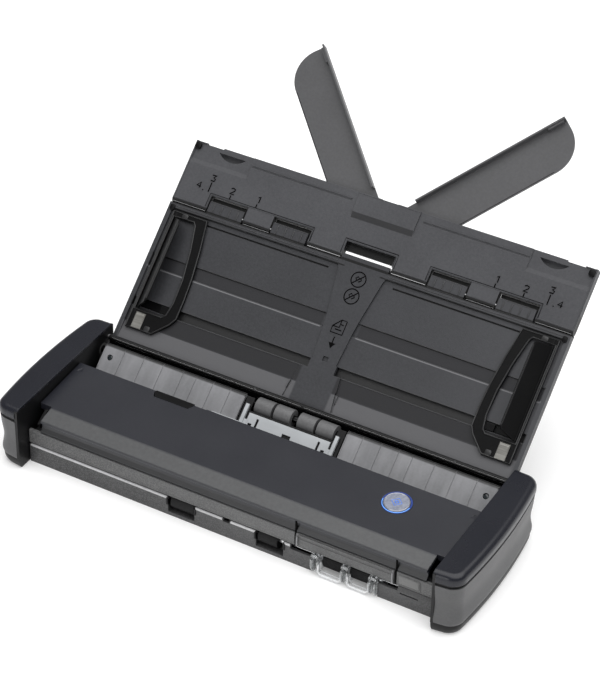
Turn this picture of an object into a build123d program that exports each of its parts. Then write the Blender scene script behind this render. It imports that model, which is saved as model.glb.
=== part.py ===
from build123d import *
import os
from math import cos, pi, radians, sin

# Portable sheet fed document scanner, feed tray and extension opened up.
# Millimetres. +X right, +Y to the back, +Z up; the origin is the centre of the underside.
# Tray pieces are drawn flat in tray axes (x, s up the tray, n out of the paper side) and then tilted.

# ---- driving dimensions -------------------------------------------------------------------
BODY_HALF = 124.3        # half width of everything between the two end housings
WALL_IN = 124.9          # inner face of each end wall
WALL_OUT = 126.5         # outer face of each end wall
FRONT_Y = -38.0          # front plate
REAR_Y = 44.7            # rear cover
CAP_FRONT = -48.0        # front of an end housing
CAP_BACK = 47.2          # back of an end housing
CAP_BULGE = 142.4        # outermost x of an end housing
CAP_REAR = 138.7         # x of an end housing's rear corner
CAP_TOP = 40.0
CAP_SPLIT = 34.2         # underside of the end cap
PANEL_TOP = 31.7         # top of the silver side panel
PANEL_BOTTOM = 6.4
CAP_CORNER = 8.0

COVER_BACK = (13.0, 33.9)        # y, z of the top cover's back edge
COVER_BEND = (-27.0, 31.7)       # y, z where the front slope starts
COVER_NOSE = (-36.6, 29.6)       # y, z of the slope's lower edge
SLOPE_HALF = 117.0               # half width of the front slope
SKIN = 1.8                       # wall of a moulded cover
COVER_PIVOT = (-36.6, 13.7)      # y, z of the upper unit's hinge
PLATE_TOP = 21.6                 # top of the front plate
BEAD = 1.4                       # radius of the front plate's lower bead
CARD_X = (42.0, 98.9)            # card exit flap
CARD_NOTCH = (51.3, 89.9)        # opening in the base under the card rollers

EJECT_AXIS = (-32.4, 7.8)        # y, z
EJECT_R = 5.0
EJECT_TYRES = ((-35.0, -21.0), (18.5, 30.0), (57.2, 69.4), (73.2, 85.0))
SHAFT_R = 2.0
PATH = ((-36.2, 12.4), (-27.0, 12.9), (-14.0, 14.5), (8.0, 16.5), (17.5, 19.66))
GAP = 0.5                        # half the paper path's height
GUIDE_TOP = (35.2, 34.0)         # y, z of the feed guide's upper edge
GUIDE_SLOPE = 39.0
GUIDE_X = (31.5, 121.5)
PICKUP_AXIS = (35.66, 28.35)
PICKUP_R = 5.0
PICKUP_TYRES = ((2.2, 12.4), (14.0, 24.3))
RETARD_AXIS = (12.6, 23.8)
RETARD_R = 5.2
FEED_AXIS = (12.6, 12.4)
FEED_R = 5.8
MOTOR_AXIS = (27.5, 10.5)
PINCH_R = 2.0                    # idler rollers over the exit rollers
PINCH_Z = EJECT_AXIS[1] + EJECT_R + PINCH_R + 0.2
BELT_X = ((127.2, 129.4), (130.0, 132.2))
SENSOR_Y = (-11.0, 5.0)
SENSOR_HALF = 110.0
FOOT_R, FOOT_DEEP = 4.5, 1.2
FOOT_SPOTS = ((-108.0, 34.0), (-40.0, 34.0), (40.0, 34.0), (108.0, 34.0),
              (-108.0, -20.0), (-40.0, -20.0), (30.0, -20.0), (108.0, -20.0))
SCREW_SPOTS = ((-96.0, 10.0), (-20.0, 10.0), (60.0, 10.0), (105.0, 10.0), (-42.0, 26.0), (80.0, 38.0))

BUTTON = (81.0, -2.5)            # x, y of the start button
BUTTON_R = 7.2
RING_R = 8.2
LEVER_X = (-75.0, -51.0)
LEVER_Y = 8.4                    # front edge of the open lever
LEVER_PIVOT = (8.9, 32.8)        # y, z

TRAY_Y, TRAY_Z, TRAY_TILT = 43.84, 31.37, 41.1
TRAY_HALF = 124.3
TRAY_TOP = 84.2          # s of the main panel's upper edge
TRAY_THICK = 4.9
PIVOT_S, PIVOT_N = -0.3, 2.2
BAR_R = 1.6
DECK = -2.5              # n under the main panel's floor, where the rack space starts
SLOT_S = (21.7, 27.0)
ZONES = ((53.3, 81.0, -1.4), (45.5, 53.3, -2.1), (27.0, 45.5, -1.2), (12.0, 21.7, -1.4))    # s, s, floor
PINION_S = 23.5
MODULE = 0.8
PINION_TEETH = 12
RACK_N = (-3.8, -2.75)
GUIDE_HINGE_X = 117.0
WALL_LEAN = 51.7         # degrees that a side guide stands up from the tray
WALL_LENGTH = 11.8
GUIDE_OUTLINE = [(98.0, 80.0), (94.7, 63.0), (92.2, 46.0), (91.4, 32.0), (91.6, 21.0), (94.2, 16.8),
                 (102.6, 8.6), (119.6, 8.6), (119.6, 80.0)]
WINDOW_OUTLINE = [(103.6, 74.2), (100.4, 60.0), (98.2, 44.0), (97.4, 30.0), (98.6, 22.4), (100.6, 20.4),
                  (118.1, 20.4), (118.1, 76.0), (105.0, 76.0)]
RING_N = (-0.85, 0.55)

EXT_S = (87.3, 122.5)
EXT_N = -5.2
FOLD_S, FOLD_N = 87.1, -2.6
NOTCH_S = 94.5
NOTCH_SIDE = (37.0, 102.0)
NOTCH_MID = 15.5
KNUCKLE = (60.9, 78.1)
BEADS = ((15.5, 37.0), (102.0, 124.3))    # rounded hinge edge of the extension
TONGUES = ((38.2, 60.0), (79.0, 101.0))
TONGUE_FLOORS = ((37.3, 60.6), (78.4, 101.7))
ARM_PIVOT = (15.0, 111.7)
ARM_OPEN = 48.3
ARM_LENGTH = 103.0
ARM_N = (-4.15, -2.75)


# ---- helpers ------------------------------------------------------------------------------
def block(x0, x1, y0, y1, z0, z1):
    """A box from its six limits."""
    return Pos((x0 + x1) / 2, (y0 + y1) / 2, (z0 + z1) / 2) * Box(x1 - x0, y1 - y0, z1 - z0)


def across(side, x0, x1, *limits):
    """A box on the right side of the middle plane, or with side -1 on the left."""
    return block(*sorted((side * x0, side * x1)), *limits)


def strip(points, x0, x1):
    """A closed outline in the y, z plane drawn out from x0 to x1."""
    face = Plane.YZ * make_face(Polyline(*points, close=True))
    return Pos(x0, 0, 0) * extrude(face, x1 - x0)


def plate(points, z0, z1):
    """A closed outline in the x, y plane between two heights."""
    return Pos(0, 0, z0) * extrude(make_face(Polyline(*points, close=True)), z1 - z0)


def rod(x0, x1, y, z, radius):
    """A round bar along x."""
    return Pos((x0 + x1) / 2, y, z) * Rot(0, 90, 0) * Cylinder(radius, abs(x1 - x0))


def tube(x0, x1, y, z, outer, inner):
    """A sleeve along x."""
    return rod(x0, x1, y, z, outer) - rod(min(x0, x1) - 1, max(x0, x1) + 1, y, z, inner)


def peg(x, y, z0, z1, radius):
    """A round bar along z."""
    return Pos(x, y, (z0 + z1) / 2) * Cylinder(radius, z1 - z0)


def mirrored(shape):
    """The same shape on the other side of the middle plane."""
    return mirror(shape, about=Plane.YZ)


def tilt(shape):
    """From flat tray axes to the open tray."""
    return Pos(0, TRAY_Y, TRAY_Z) * Rot(TRAY_TILT, 0, 0) * shape


def save(name, *shapes):
    """One named piece, or one group of identical pieces, to its own file."""
    shape = shapes[0] if len(shapes) == 1 else Compound(children=list(shapes))
    export_step(shape, "parts/" + name + ".step")


def guide_z(y):
    """Height of the sloping feed guide's surface."""
    return GUIDE_TOP[1] - (GUIDE_TOP[0] - y) * sin(radians(GUIDE_SLOPE)) / cos(radians(GUIDE_SLOPE))


def cover_z(y):
    """Height of the top cover's outer surface."""
    (y0, z0), (y1, z1) = COVER_BEND, COVER_BACK
    return z0 + (y - y0) * (z1 - z0) / (y1 - y0)


def path_band(low, high, y_first, y_last):
    """Outline in y, z between two offsets from the paper path."""
    inner = [p for p in PATH if y_first < p[0] < y_last]
    line = [(y_first, path_z(y_first))] + inner + [(y_last, path_z(y_last))]
    return [(y, z + low) for y, z in line] + [(y, z + high) for y, z in reversed(line)]


def path_z(y):
    """Height of the paper path at y."""
    for (y0, z0), (y1, z1) in zip(PATH, PATH[1:]):
        if y <= y1:
            return z0 + (y - y0) * (z1 - z0) / (y1 - y0)
    return PATH[-1][1]


# ---- end housings -------------------------------------------------------------------------
def cap_outline(inset, x_in=WALL_IN, corner=CAP_CORNER):
    """Plan of a right end housing, drawn in by inset on its three outer sides."""
    front, back = CAP_FRONT + inset, CAP_BACK - inset
    outline = Polyline((x_in, back), (x_in, front), (139.6 - inset, front + 1.4))
    outline += ThreePointArc(
        (139.6 - inset, front + 1.4), (CAP_BULGE - inset, -2.0), (CAP_REAR - inset, back - 0.4)
    )
    outline += Line((CAP_REAR - inset, back - 0.4), (x_in, back))
    face = make_face(outline)
    outer = face.vertices().sort_by(Axis.X)[-2:]
    return fillet(outer, corner)


def cap_block(inset, z0, z1, x_in=WALL_IN, corner=CAP_CORNER):
    """The plan drawn out between two heights."""
    return Pos(0, 0, z0) * extrude(cap_outline(inset, x_in, corner), z1 - z0)


def side_panel():
    """Silver end panel, waisted at mid height and open to the inside."""
    levels = ((PANEL_BOTTOM, 1.1), (9.4, 0.5), (14.0, 1.1), (20.0, 1.3), (26.5, 0.7), (PANEL_TOP, 0.4))
    skin = loft([Pos(0, 0, z) * cap_outline(inset, WALL_OUT) for z, inset in levels])
    return skin - cap_block(4.6, PANEL_BOTTOM - 1, PANEL_TOP + 1, WALL_OUT - 2, 5.0)


def end_base():
    """Black foot of an end housing, tapering towards the underside."""
    foot = loft([Pos(0, 0, 0.3) * cap_outline(2.5, WALL_IN), Pos(0, 0, 2.6) * cap_outline(1.4, WALL_IN),
                 Pos(0, 0, PANEL_BOTTOM) * cap_outline(1.1, WALL_IN)])
    return foot - cap_block(5.4, 1.8, PANEL_BOTTOM + 1, WALL_OUT, 5.0) - wall_slab(PANEL_BOTTOM + 1)


def wall_slab(top):
    """Room for the end wall inside the foot."""
    return block(WALL_IN - 1, WALL_OUT, -44.5, 44.5, 1.8, top)


def end_frame(side):
    """Black end wall with its bearings and the band under the cap; side is 1 on the right."""
    wall = block(WALL_IN, WALL_OUT, -44.5, 44.5, 1.8, 38.7)
    wall += block(WALL_IN, WALL_OUT, CAP_FRONT + 0.6, CAP_BACK - 0.6, PANEL_BOTTOM, 38.7)
    band = cap_block(1.0, PANEL_TOP, CAP_SPLIT, WALL_IN) - cap_block(5.5, PANEL_TOP - 1, CAP_SPLIT + 1, WALL_OUT, 4.0)
    frame = wall + band
    frame -= rod(120, 130, *tray_axis(), 1.55)
    frame -= rod(120, 130, *COVER_PIVOT, 0.85)
    frame -= rod(120, 130, *EJECT_AXIS, 3.6)
    frame -= rod(120, 130, *PICKUP_AXIS, 3.6)
    if side > 0:
        frame -= rod(120, 130, *MOTOR_AXIS, 2.4)
        return frame
    return mirrored(frame)


def end_cap():
    """Satin top of an end housing with a broad rounded rim."""
    cap = cap_block(0.0, CAP_SPLIT, CAP_TOP, WALL_IN)
    rim = cap.faces().sort_by(Axis.Z)[-1].edges()
    rim = [e for e in rim if e.center().X > WALL_IN + 1]
    cap = fillet(rim, 3.6)
    cap -= cap_block(4.4, CAP_SPLIT - 1, CAP_TOP - 1.2, WALL_OUT, 4.0)
    return cap - block(WALL_IN - 1, WALL_OUT, -60, 60, CAP_SPLIT - 1, CAP_TOP - 1.2)


def make_end_housings():
    panel, foot, cap = side_panel(), end_base(), end_cap()
    save("side_panel_right", panel)
    save("side_panel_left", mirrored(panel))
    save("end_base_right", foot)
    save("end_base_left", mirrored(foot))
    save("end_cap_right", cap)
    save("end_cap_left", mirrored(cap))
    save("end_frame_right", end_frame(1))
    save("end_frame_left", end_frame(-1))


# ---- lower unit ---------------------------------------------------------------------------
def tray_axis():
    """y, z of the tray's hinge line."""
    c, s = cos(radians(TRAY_TILT)), sin(radians(TRAY_TILT))
    return (TRAY_Y + PIVOT_S * c - PIVOT_N * s, TRAY_Z + PIVOT_S * s + PIVOT_N * c)




def base_plate():
    """Floor and front lip of the body, cut away for the eject and card rollers."""
    base = block(-BODY_HALF, BODY_HALF, -36.4, 42.5, 0, SKIN)
    base += block(-BODY_HALF, 38.4, FRONT_Y, -36.4, 0, 11.1)
    base += rod(-BODY_HALF, 38.4, -37.2, 11.1, 0.85)
    base += block(38.4, BODY_HALF, FRONT_Y, -36.4, 0, 9.2)
    base += strip([(FRONT_Y, 9.2), (-36.4, 9.2), (-36.4, 11.6)], 101.0, BODY_HALF)
    for x0, x1 in ((-36.2, -19.8), (17.7, 34.3)):
        base -= block(x0, x1, -40, -35, 2.2, 14)
    base -= block(-2.2, 1.8, -40, -35, 10.0, 14)
    base -= block(*CARD_NOTCH, -40, -25.5, -1, 14)
    base -= block(102.6, 113.0, -40, -37.2, 7.6, 8.6)
    for x, y in FOOT_SPOTS:
        base -= peg(x, y, -1, FOOT_DEEP, FOOT_R)
    for x, y in SCREW_SPOTS:
        base -= peg(x, y, -1, SKIN + 1, 1.5) + peg(x, y, -1, 0.9, 2.8)
    return base


def rear_cover():
    """Back wall with the cord sockets and the card slot."""
    wall = block(-BODY_HALF, BODY_HALF, 42.5, REAR_Y, 0, 24.6)
    wall = fillet(wall.edges().filter_by(Axis.X).group_by(Axis.Z)[0], 0.8)
    wall -= block(-98.0, -88.0, 40, 50, 6.6, 10.4)
    wall -= Pos(-76.0, 44.0, 8.5) * Rot(90, 0, 0) * Cylinder(3.3, 8)
    wall -= block(42.0, 99.0, 40, 50, 12.2, 16.6)
    return wall


def lower_frame():
    """Black inner moulding that carries the paper path, with windows for rollers and sensor."""
    deck = strip(path_band(-GAP - 1.6, -GAP, -35.6, 17.0), -118.0, 118.0)
    slope = [(17.0, path_z(17.0) - GAP), (GUIDE_TOP[0], GUIDE_TOP[1] - 0.8), (GUIDE_TOP[0], 31.6),
             (17.0, path_z(17.0) - GAP - 1.6)]
    frame = deck + strip(slope, -30.6, 30.6)
    frame += strip([(17.0, 15.4), (17.0, 17.4), (19.0, 18.8), (20.6, 18.8), (20.6, 15.4)], -118.0, 118.0)
    for x in (-117.0, -60.0, 37.0, 99.0):
        frame += strip([(-27.0, SKIN + 0.1), (-27.0, 10.9), (-13.0, 12.5), (-13.0, SKIN + 0.1)], x, x + 1.5)
        frame += strip([(7.0, SKIN + 0.1), (7.0, 14.5), (17.0, 17.5), (17.0, SKIN + 0.1)], x, x + 1.5)
    frame -= block(-SENSOR_HALF - 1, SENSOR_HALF + 1, SENSOR_Y[0] - 1, SENSOR_Y[1] + 1, 5, 30)
    for x0, x1 in EJECT_TYRES:
        frame -= block(x0 - 0.8, x1 + 0.8, -40, EJECT_AXIS[0] + 6.0, 5, 30)
    frame -= block(CARD_NOTCH[0] - 0.5, CARD_NOTCH[1] + 0.5, -40, -26.0, 5, 30)
    frame -= block(-26.0, 26.0, 29.4, 40, 20, 40)
    frame -= rod(-15, 15, *FEED_AXIS, FEED_R + 0.5)
    return frame


def feed_roller():
    """Driven roller under the separation roller, moulded in one with its shaft."""
    y, z = FEED_AXIS
    return rod(-24.0, 24.0, y, z, 3.0) + rod(-13.0, -1.0, y, z, FEED_R) + rod(1.0, 13.0, y, z, FEED_R)


def feed_guide():
    """Ribbed sloping guide that the paper slides down, right side."""
    c, s = cos(radians(GUIDE_SLOPE)), sin(radians(GUIDE_SLOPE))
    y0, y1 = 19.2, GUIDE_TOP[0]
    top = [(y0, guide_z(y0)), (y1 - 0.8, guide_z(y1) - 0.65), (y1 - 0.2, 34.0 - 0.35), (y1 + 1.0, 33.6)]
    bottom = [(y1 + 1.0, 31.6), (y1 - 0.6, 31.6), (y0 + 1.6 * s, guide_z(y0) - 1.6 * c)]
    guide = strip(top + bottom, *GUIDE_X)
    for x in (41.0, 52.0, 62.7, 71.0, 84.0, 96.4, 109.0):
        groove = Pos(x, y1, guide_z(y1)) * Rot(GUIDE_SLOPE, 0, 0) * Box(0.5, 60, 0.7)
        guide -= groove
    hole = Pos(116.3, 29.6, guide_z(29.6)) * Rot(GUIDE_SLOPE, 0, 0) * Cylinder(1.7, 12)
    return guide - hole


def roller_cover():
    """Pale translucent plate around the pick-up roller, with an arm up each side."""
    c, s = cos(radians(GUIDE_SLOPE)), sin(radians(GUIDE_SLOPE))
    length_low, length_high, arm_top = 2.4, 14.4, 18.6
    sheet = block(-25.0, 25.0, length_low, length_high, 0, 0.7)
    sheet += block(-46.0, -25.0, length_low, 8.0, 0.15, 0.75)
    for side in (1, -1):
        sheet += across(side, 24.5, 28.7, length_low, 10.4, 0, 0.9)
        sheet += across(side, 26.7, 28.7, length_low, arm_top, 0, 1.6)
        sheet -= across(side, 18.2, 19.6, 6.6, 12.4, -1, 3)
        sheet -= across(side, 21.4, 23.6, 6.0, 8.8, -1, 3)
    sheet -= block(-2.6, 2.6, 0, 9.6, -1, 3)
    return Pos(0, 17.0, guide_z(17.0)) * Rot(GUIDE_SLOPE, 0, 0) * sheet


def card_guide():
    """Clear plastic guide around the card rollers."""
    y, z = EJECT_AXIS
    fins = ((51.7, 56.6), (69.8, 72.8), (85.4, 89.6))
    outline = [(-39.4, 2.6), (-38.2, 0.4), (-28.0, 0.4), (-28.0, 9.0), (-31.0, 12.0), (-37.6, 12.0), (-39.4, 10.2)]
    guide = strip([(-39.4, 2.4), (-38.4, 0.4), (-36.4, 0.4), (-36.4, 1.6), (-38.0, 2.4)], fins[0][0], fins[-1][1])
    for x0, x1 in fins:
        fin = strip(outline, x0, x1)
        fin = fillet(fin.edges().filter_by(Axis.X), 0.35)
        guide += fin
    return guide - rod(40, 100, y, z, SHAFT_R + 0.9)


def roller_bushes():
    """Four plain bearings pressed into the end walls."""
    bushes = []
    for y, z in (EJECT_AXIS, PICKUP_AXIS):
        ring = tube(WALL_IN, WALL_OUT, y, z, 3.6, SHAFT_R + 0.05)
        bushes += [ring, mirrored(ring)]
    return bushes


def belt(first, second, r_first, r_second, x0, x1):
    """A toothless belt loop round two pulleys, a hair clear of both."""
    def loop(extra):
        circles = [Pos(*first) * Circle(r_first + extra), Pos(*second) * Circle(r_second + extra)]
        edges = ShapeList([e for c in circles for e in c.edges()])
        return make_hull(edges)
    section = loop(1.0) - loop(0.12)
    return Pos(x0, 0, 0) * extrude(Plane.YZ * section, x1 - x0)


PULLEY_MOTOR, PULLEY_EJECT, PULLEY_PICKUP = 3.0, 4.2, 4.2


def pulley(axis, radius, band, hole):
    """A flanged pulley on the right end of a shaft."""
    x0, x1 = band
    wheel = rod(x0 - 0.2, x1 + 0.2, *axis, radius)
    return wheel - rod(x0 - 1, x1 + 1, *axis, hole)


def make_lower_unit():
    save("base_plate", base_plate())
    save("rear_cover", rear_cover())
    save("lower_frame", lower_frame())
    guide = feed_guide()
    save("feed_guide_right", guide)
    save("feed_guide_left", mirrored(guide))
    save("roller_cover", roller_cover())
    save("card_guide", card_guide())
    save("roller_bushes", *roller_bushes())
    save("rubber_feet", *[peg(x, y, 0, FOOT_DEEP, FOOT_R - 0.05) for x, y in FOOT_SPOTS])
    save("base_screws", *[screw(x, y) for x, y in SCREW_SPOTS])
    y, z = SENSOR_Y
    floor = 4.0
    top = path_z(y) - GAP
    save("lower_sensor", block(-SENSOR_HALF, SENSOR_HALF, y, z, floor, top - 1.4))
    save("lower_glass", block(-SENSOR_HALF, SENSOR_HALF, y, z, top - 1.4, top - 0.2))
    save("main_board", block(-118.0, -46.0, 22.5, 41.5, 3.4, 5.0))
    save("usb_socket", usb_socket())
    save("power_socket", power_socket())
    save("drive_motor", motor())
    first = belt(MOTOR_AXIS, EJECT_AXIS, PULLEY_MOTOR, PULLEY_EJECT, *BELT_X[0])
    second = belt(MOTOR_AXIS, PICKUP_AXIS, PULLEY_MOTOR, PULLEY_PICKUP, *BELT_X[1])
    save("drive_belts", first, second)


def screw(x, y):
    """Countersunk fixing screw in the underside, with a cross recess."""
    shape = peg(x, y, 0.1, 0.9, 2.7) + peg(x, y, 0.9, 5.4, 1.4)
    shape -= block(x - 1.4, x + 1.4, y - 0.25, y + 0.25, -1, 0.6)
    return shape - block(x - 0.25, x + 0.25, y - 1.4, y + 1.4, -1, 0.6)


def usb_socket():
    """Metal shell of the data socket, standing on the board behind its window."""
    shell = block(-97.2, -88.8, 36.0, 44.2, 7.0, 10.0) - block(-96.7, -89.3, 38.0, 45, 7.5, 9.5)
    for x in (-97.2, -89.6):
        shell += block(x, x + 0.8, 36.5, 41.5, 5.0, 7.2)
    return shell + block(-95.4, -90.6, 36.5, 43.0, 8.2, 8.8)


def power_socket():
    """Round power inlet with its centre pin."""
    axis = Pos(-76.0, 40.2, 8.5) * Rot(90, 0, 0)
    housing = block(-79.4, -72.6, 34.0, 41.4, 5.0, 12.0) + axis * Cylinder(3.1, 8)
    bore = Pos(-76.0, 41.4, 8.5) * Rot(90, 0, 0) * Cylinder(2.4, 8)
    pin = Pos(-76.0, 40.4, 8.5) * Rot(90, 0, 0) * Cylinder(0.7, 7)
    return housing - bore + pin


def motor():
    """Small feed motor behind the right end wall, with its mounting flange."""
    y, z = MOTOR_AXIS
    can = rod(92.0, 122.0, y, z, 7.4)
    flange = block(122.0, 123.2, y - 12.0, y + 12.0, z - 6.0, z + 6.0)
    return can + flange + rod(123.2, WALL_IN, y, z, 2.2)


# ---- shafts and rollers -------------------------------------------------------------------
def make_rollers():
    y, z = EJECT_AXIS
    save("eject_shaft", rod(-127.0, 134.0, y, z, SHAFT_R))
    save("eject_tyres", *[tube(x0, x1, y, z, EJECT_R, SHAFT_R) for x0, x1 in EJECT_TYRES])
    save("eject_pulley", pulley(EJECT_AXIS, PULLEY_EJECT, BELT_X[0], SHAFT_R))
    y, z = PICKUP_AXIS
    save("pickup_shaft", rod(-127.0, 134.0, y, z, SHAFT_R))
    tyres = [tube(a, b, y, z, PICKUP_R, SHAFT_R) for a, b in PICKUP_TYRES]
    tyres += [mirrored(t) for t in tyres]
    save("pickup_tyres", *tyres)
    save("pickup_pulley", pulley(PICKUP_AXIS, PULLEY_PICKUP, BELT_X[1], SHAFT_R))
    y, z = MOTOR_AXIS
    spindle = rod(125.1, 134.0, y, z, 1.4)
    spindle += rod(BELT_X[0][0] - 0.2, BELT_X[1][1] + 0.2, y, z, PULLEY_MOTOR)
    save("motor_pulley", spindle)
    save("feed_roller", feed_roller())
    y, z = RETARD_AXIS
    retard = tube(-12.0, 12.0, y, z, RETARD_R, 1.6)
    save("retard_roller", retard + rod(-16.0, 16.0, y, z, 1.6))
    pinch = rod(-38.0, 92.0, EJECT_AXIS[0], PINCH_Z, 0.9)
    for x0, x1 in EJECT_TYRES:
        pinch += rod(x0 + 3, x1 - 3, EJECT_AXIS[0], PINCH_Z, PINCH_R)
    save("pinch_rollers", pinch)


# ---- upper unit ---------------------------------------------------------------------------


def cover_profile():
    """Section of the top cover: top, front slope, lip and the inside of each."""
    (yb, zb), (ym, zm), (yn, zn) = COVER_BACK, COVER_BEND, COVER_NOSE
    outer = [(yb - 0.5, zb), (ym, zm), (yn, zn), (yn - 0.7, zn - 0.6), (yn - 0.6, zn - 1.6)]
    lip = [(yn + 0.7, 27.0), (yn + 0.7, 24.6), (yn - 0.8, 22.6), (yn - 0.8, PLATE_TOP + 0.2)]
    inner = [(yn + 1.6, PLATE_TOP + 0.2), (yn + 2.6, 27.0), (ym + 0.3, zm - SKIN), (yb - SKIN, zb - SKIN),
             (yb - SKIN, zb - 4.3), (yb, zb - 4.3), (yb, zb - 0.5)]
    return outer + lip + inner


def button_frame():
    """Location whose z axis leaves the sloping cover at the start button."""
    (y0, z0), (y1, z1) = COVER_BEND, COVER_BACK
    from_level = Vector(y1 - y0, z1 - z0, 0).get_angle(Vector(1, 0, 0))
    return Pos(BUTTON[0], BUTTON[1], cover_z(BUTTON[1])) * Rot(from_level, 0, 0)


def lever_outline(grow):
    """Plan of the open lever, rounded at the front, grown by a clearance."""
    x0, x1 = LEVER_X
    points = [(x0 - grow, 20.0), (x0 - grow, 11.0), (x0 + 1.6 - grow, LEVER_Y - grow),
              (x1 - 1.6 + grow, LEVER_Y - grow), (x1 + grow, 11.0), (x1 + grow, 20.0)]
    return plate(points, 20, 40)


def top_cover():
    """Satin top of the upper unit with its front slope and lip."""
    (ym, zm), (yb, zb) = COVER_BEND, COVER_BACK
    cover = strip(cover_profile(), -SLOPE_HALF, SLOPE_HALF)
    wing = [(yb - 0.5, zb), (ym + 1.0, cover_z(ym + 1.0)), (ym + 1.0, cover_z(ym + 1.0) - 4.0),
            (ym + 2.4, cover_z(ym + 1.0) - 4.0), (ym + 2.8, cover_z(ym + 2.8) - SKIN), (yb - SKIN, zb - SKIN),
            (yb - SKIN, zb - 4.3), (yb, zb - 4.3), (yb, zb - 0.5)]
    cover += strip(wing, SLOPE_HALF, BODY_HALF) + strip(wing, -BODY_HALF, -SLOPE_HALF)
    cover -= button_frame() * Cylinder(RING_R + 0.1, 12)
    cover -= lever_outline(0.35)
    cover -= block(-71.0, -43.0, yb - 1.0, yb + 2, 28.0, 40)
    for x in (41.3, 99.9):
        cover -= block(x - 0.6, x + 0.6, -42, COVER_NOSE[0] + 1.2, PLATE_TOP - 1, 28.6)
    for side in (1, -1):
        mark = [(side * 119.0, 6.0), (side * 122.0, 6.0), (side * 120.5, 9.0)]
        cover -= plate(mark, cover_z(7.0) - 0.15, 40)
    return cover


def front_plate():
    """Textured plate under the lip, with the hinge bead along its lower edge."""
    y, z = COVER_PIVOT
    whole = block(-BODY_HALF, BODY_HALF, FRONT_Y, FRONT_Y + 1.8, z, PLATE_TOP)
    whole += rod(-BODY_HALF, BODY_HALF, y, z, BEAD)
    whole -= block(CARD_X[0] - 1.2, CARD_X[1] + 1.6, -45, -30, 0, 40)
    whole += block(101.5, 114.0, FRONT_Y - 0.35, FRONT_Y + 1, 14.4, 20.6)
    return whole - rod(-130, -117, y, z, 0.8) - rod(117, 130, y, z, 0.8)


def card_flap():
    """Smooth flap over the card exit with a raised rib at each end."""
    y, z = COVER_PIVOT
    x0, x1 = CARD_X
    flap = block(x0, x1, FRONT_Y, FRONT_Y + 1.8, z, PLATE_TOP) + rod(x0, x1, y, z, BEAD)
    ear = [(FRONT_Y - 0.9, z), (FRONT_Y - 0.9, 20.0), (FRONT_Y, PLATE_TOP), (FRONT_Y, z)]
    for end in (x0, x1 - 1.2):
        flap += strip(ear, end, end + 1.2)
    return flap + block(x0 + 1.2, x1 - 1.2, FRONT_Y - 0.3, FRONT_Y, 17.6, 18.4)


def upper_frame():
    """Black inner moulding of the upper unit, over the paper path."""
    skin = strip(path_band(GAP, GAP + 1.7, -34.2, 15.5), -117.5, 117.5)
    for x in (-121.4, 119.8):
        web = [(-34.0, path_z(-34.0) + 2.4), (-34.0, 24.0), (-24.0, cover_z(-24.0) - SKIN - 0.3),
               (10.8, cover_z(10.8) - SKIN - 0.3), (10.8, path_z(10.8) + 2.4)]
        skin += strip(web, x, x + 1.6)
    skin += strip(path_band(GAP, GAP + 1.7, -34.2, 15.5), -121.4, -117.5)
    skin += strip(path_band(GAP, GAP + 1.7, -34.2, 15.5), 117.5, 121.4)
    skin += strip([(-34.2, 13.2), (-34.2, PLATE_TOP), (-32.9, PLATE_TOP), (-32.9, 13.2)], -117.5, 117.5)
    skin += block(-121.4, 121.4, FRONT_Y + 1.8, -34.0, 19.0, PLATE_TOP)
    for x in (-60.0, 44.0):
        rib = [(6.4, 17.0), (6.4, cover_z(6.4) - SKIN - 0.2), (8.0, cover_z(8.0) - SKIN - 0.2), (8.0, 18.0)]
        skin += strip(rib, x, x + 20)
    skin -= block(-SENSOR_HALF - 1, SENSOR_HALF + 1, SENSOR_Y[0] - 1, SENSOR_Y[1] + 1, 5, 30)
    skin -= block(-14.0, 14.0, 5, 20, 10, 30)
    for x0, x1 in EJECT_TYRES:
        skin -= block(x0 - 0.6, x1 + 0.6, -34.4 - 2, -28.0, 5, 18.5)
    return skin - rod(-39, 93, EJECT_AXIS[0], PINCH_Z, 1.0)


def start_button():
    """Round metal start button on its stem."""
    cap = Pos(0, 0, -0.4) * Cylinder(BUTTON_R, 2.0)
    cap = fillet(cap.edges().filter_by(GeomType.CIRCLE).sort_by(Axis.Z)[-1], 0.5)
    stem = Pos(0, 0, -3.0) * Cylinder(2.0, 3.4)
    return button_frame() * (cap + stem)


def button_ring():
    """Light ring round the start button."""
    ring = Pos(0, 0, -0.9) * (Cylinder(RING_R, 2.2) - Cylinder(BUTTON_R + 0.2, 5))
    return button_frame() * ring


def open_lever():
    """Lever at the cover's back edge that frees the upper unit."""
    (yb, zb) = COVER_BACK
    body = strip([(LEVER_Y, cover_z(LEVER_Y) - 0.1), (LEVER_Y, cover_z(LEVER_Y) - 1.6), (yb - 1.0, zb - 1.7),
                  (yb - 1.0, zb - 6.6), (yb + 0.6, zb - 6.6), (yb + 0.6, zb - 0.5), (yb, zb - 0.1)],
                 LEVER_X[0], LEVER_X[1])
    body = body & lever_outline(0.0)
    return body - rod(LEVER_X[0] - 1, LEVER_X[1] + 1, *LEVER_PIVOT, 0.35)


def make_upper_unit():
    save("top_cover", top_cover())
    save("front_plate", front_plate())
    save("card_flap", card_flap())
    save("upper_frame", upper_frame())
    y0, y1 = SENSOR_Y
    low = path_z(y1) + GAP
    save("upper_glass", block(-SENSOR_HALF, SENSOR_HALF, y0, y1, low + 0.2, low + 1.4))
    save("upper_sensor", block(-SENSOR_HALF, SENSOR_HALF, y0, y1, low + 1.4, low + 9.5))
    pivot = rod(117.2, 126.3, *COVER_PIVOT, 0.8)
    save("cover_pivots", pivot, mirrored(pivot))
    save("start_button", start_button())
    save("button_ring", button_ring())
    save("open_lever", open_lever())


# ---- feed tray, in flat tray axes ---------------------------------------------------------


def rib_half(s):
    """Half width of the raised centre rib at height s."""
    return 7.4 + 6.8 * max(0.0, (s - 25.0) / 56.0) ** 1.6


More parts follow.
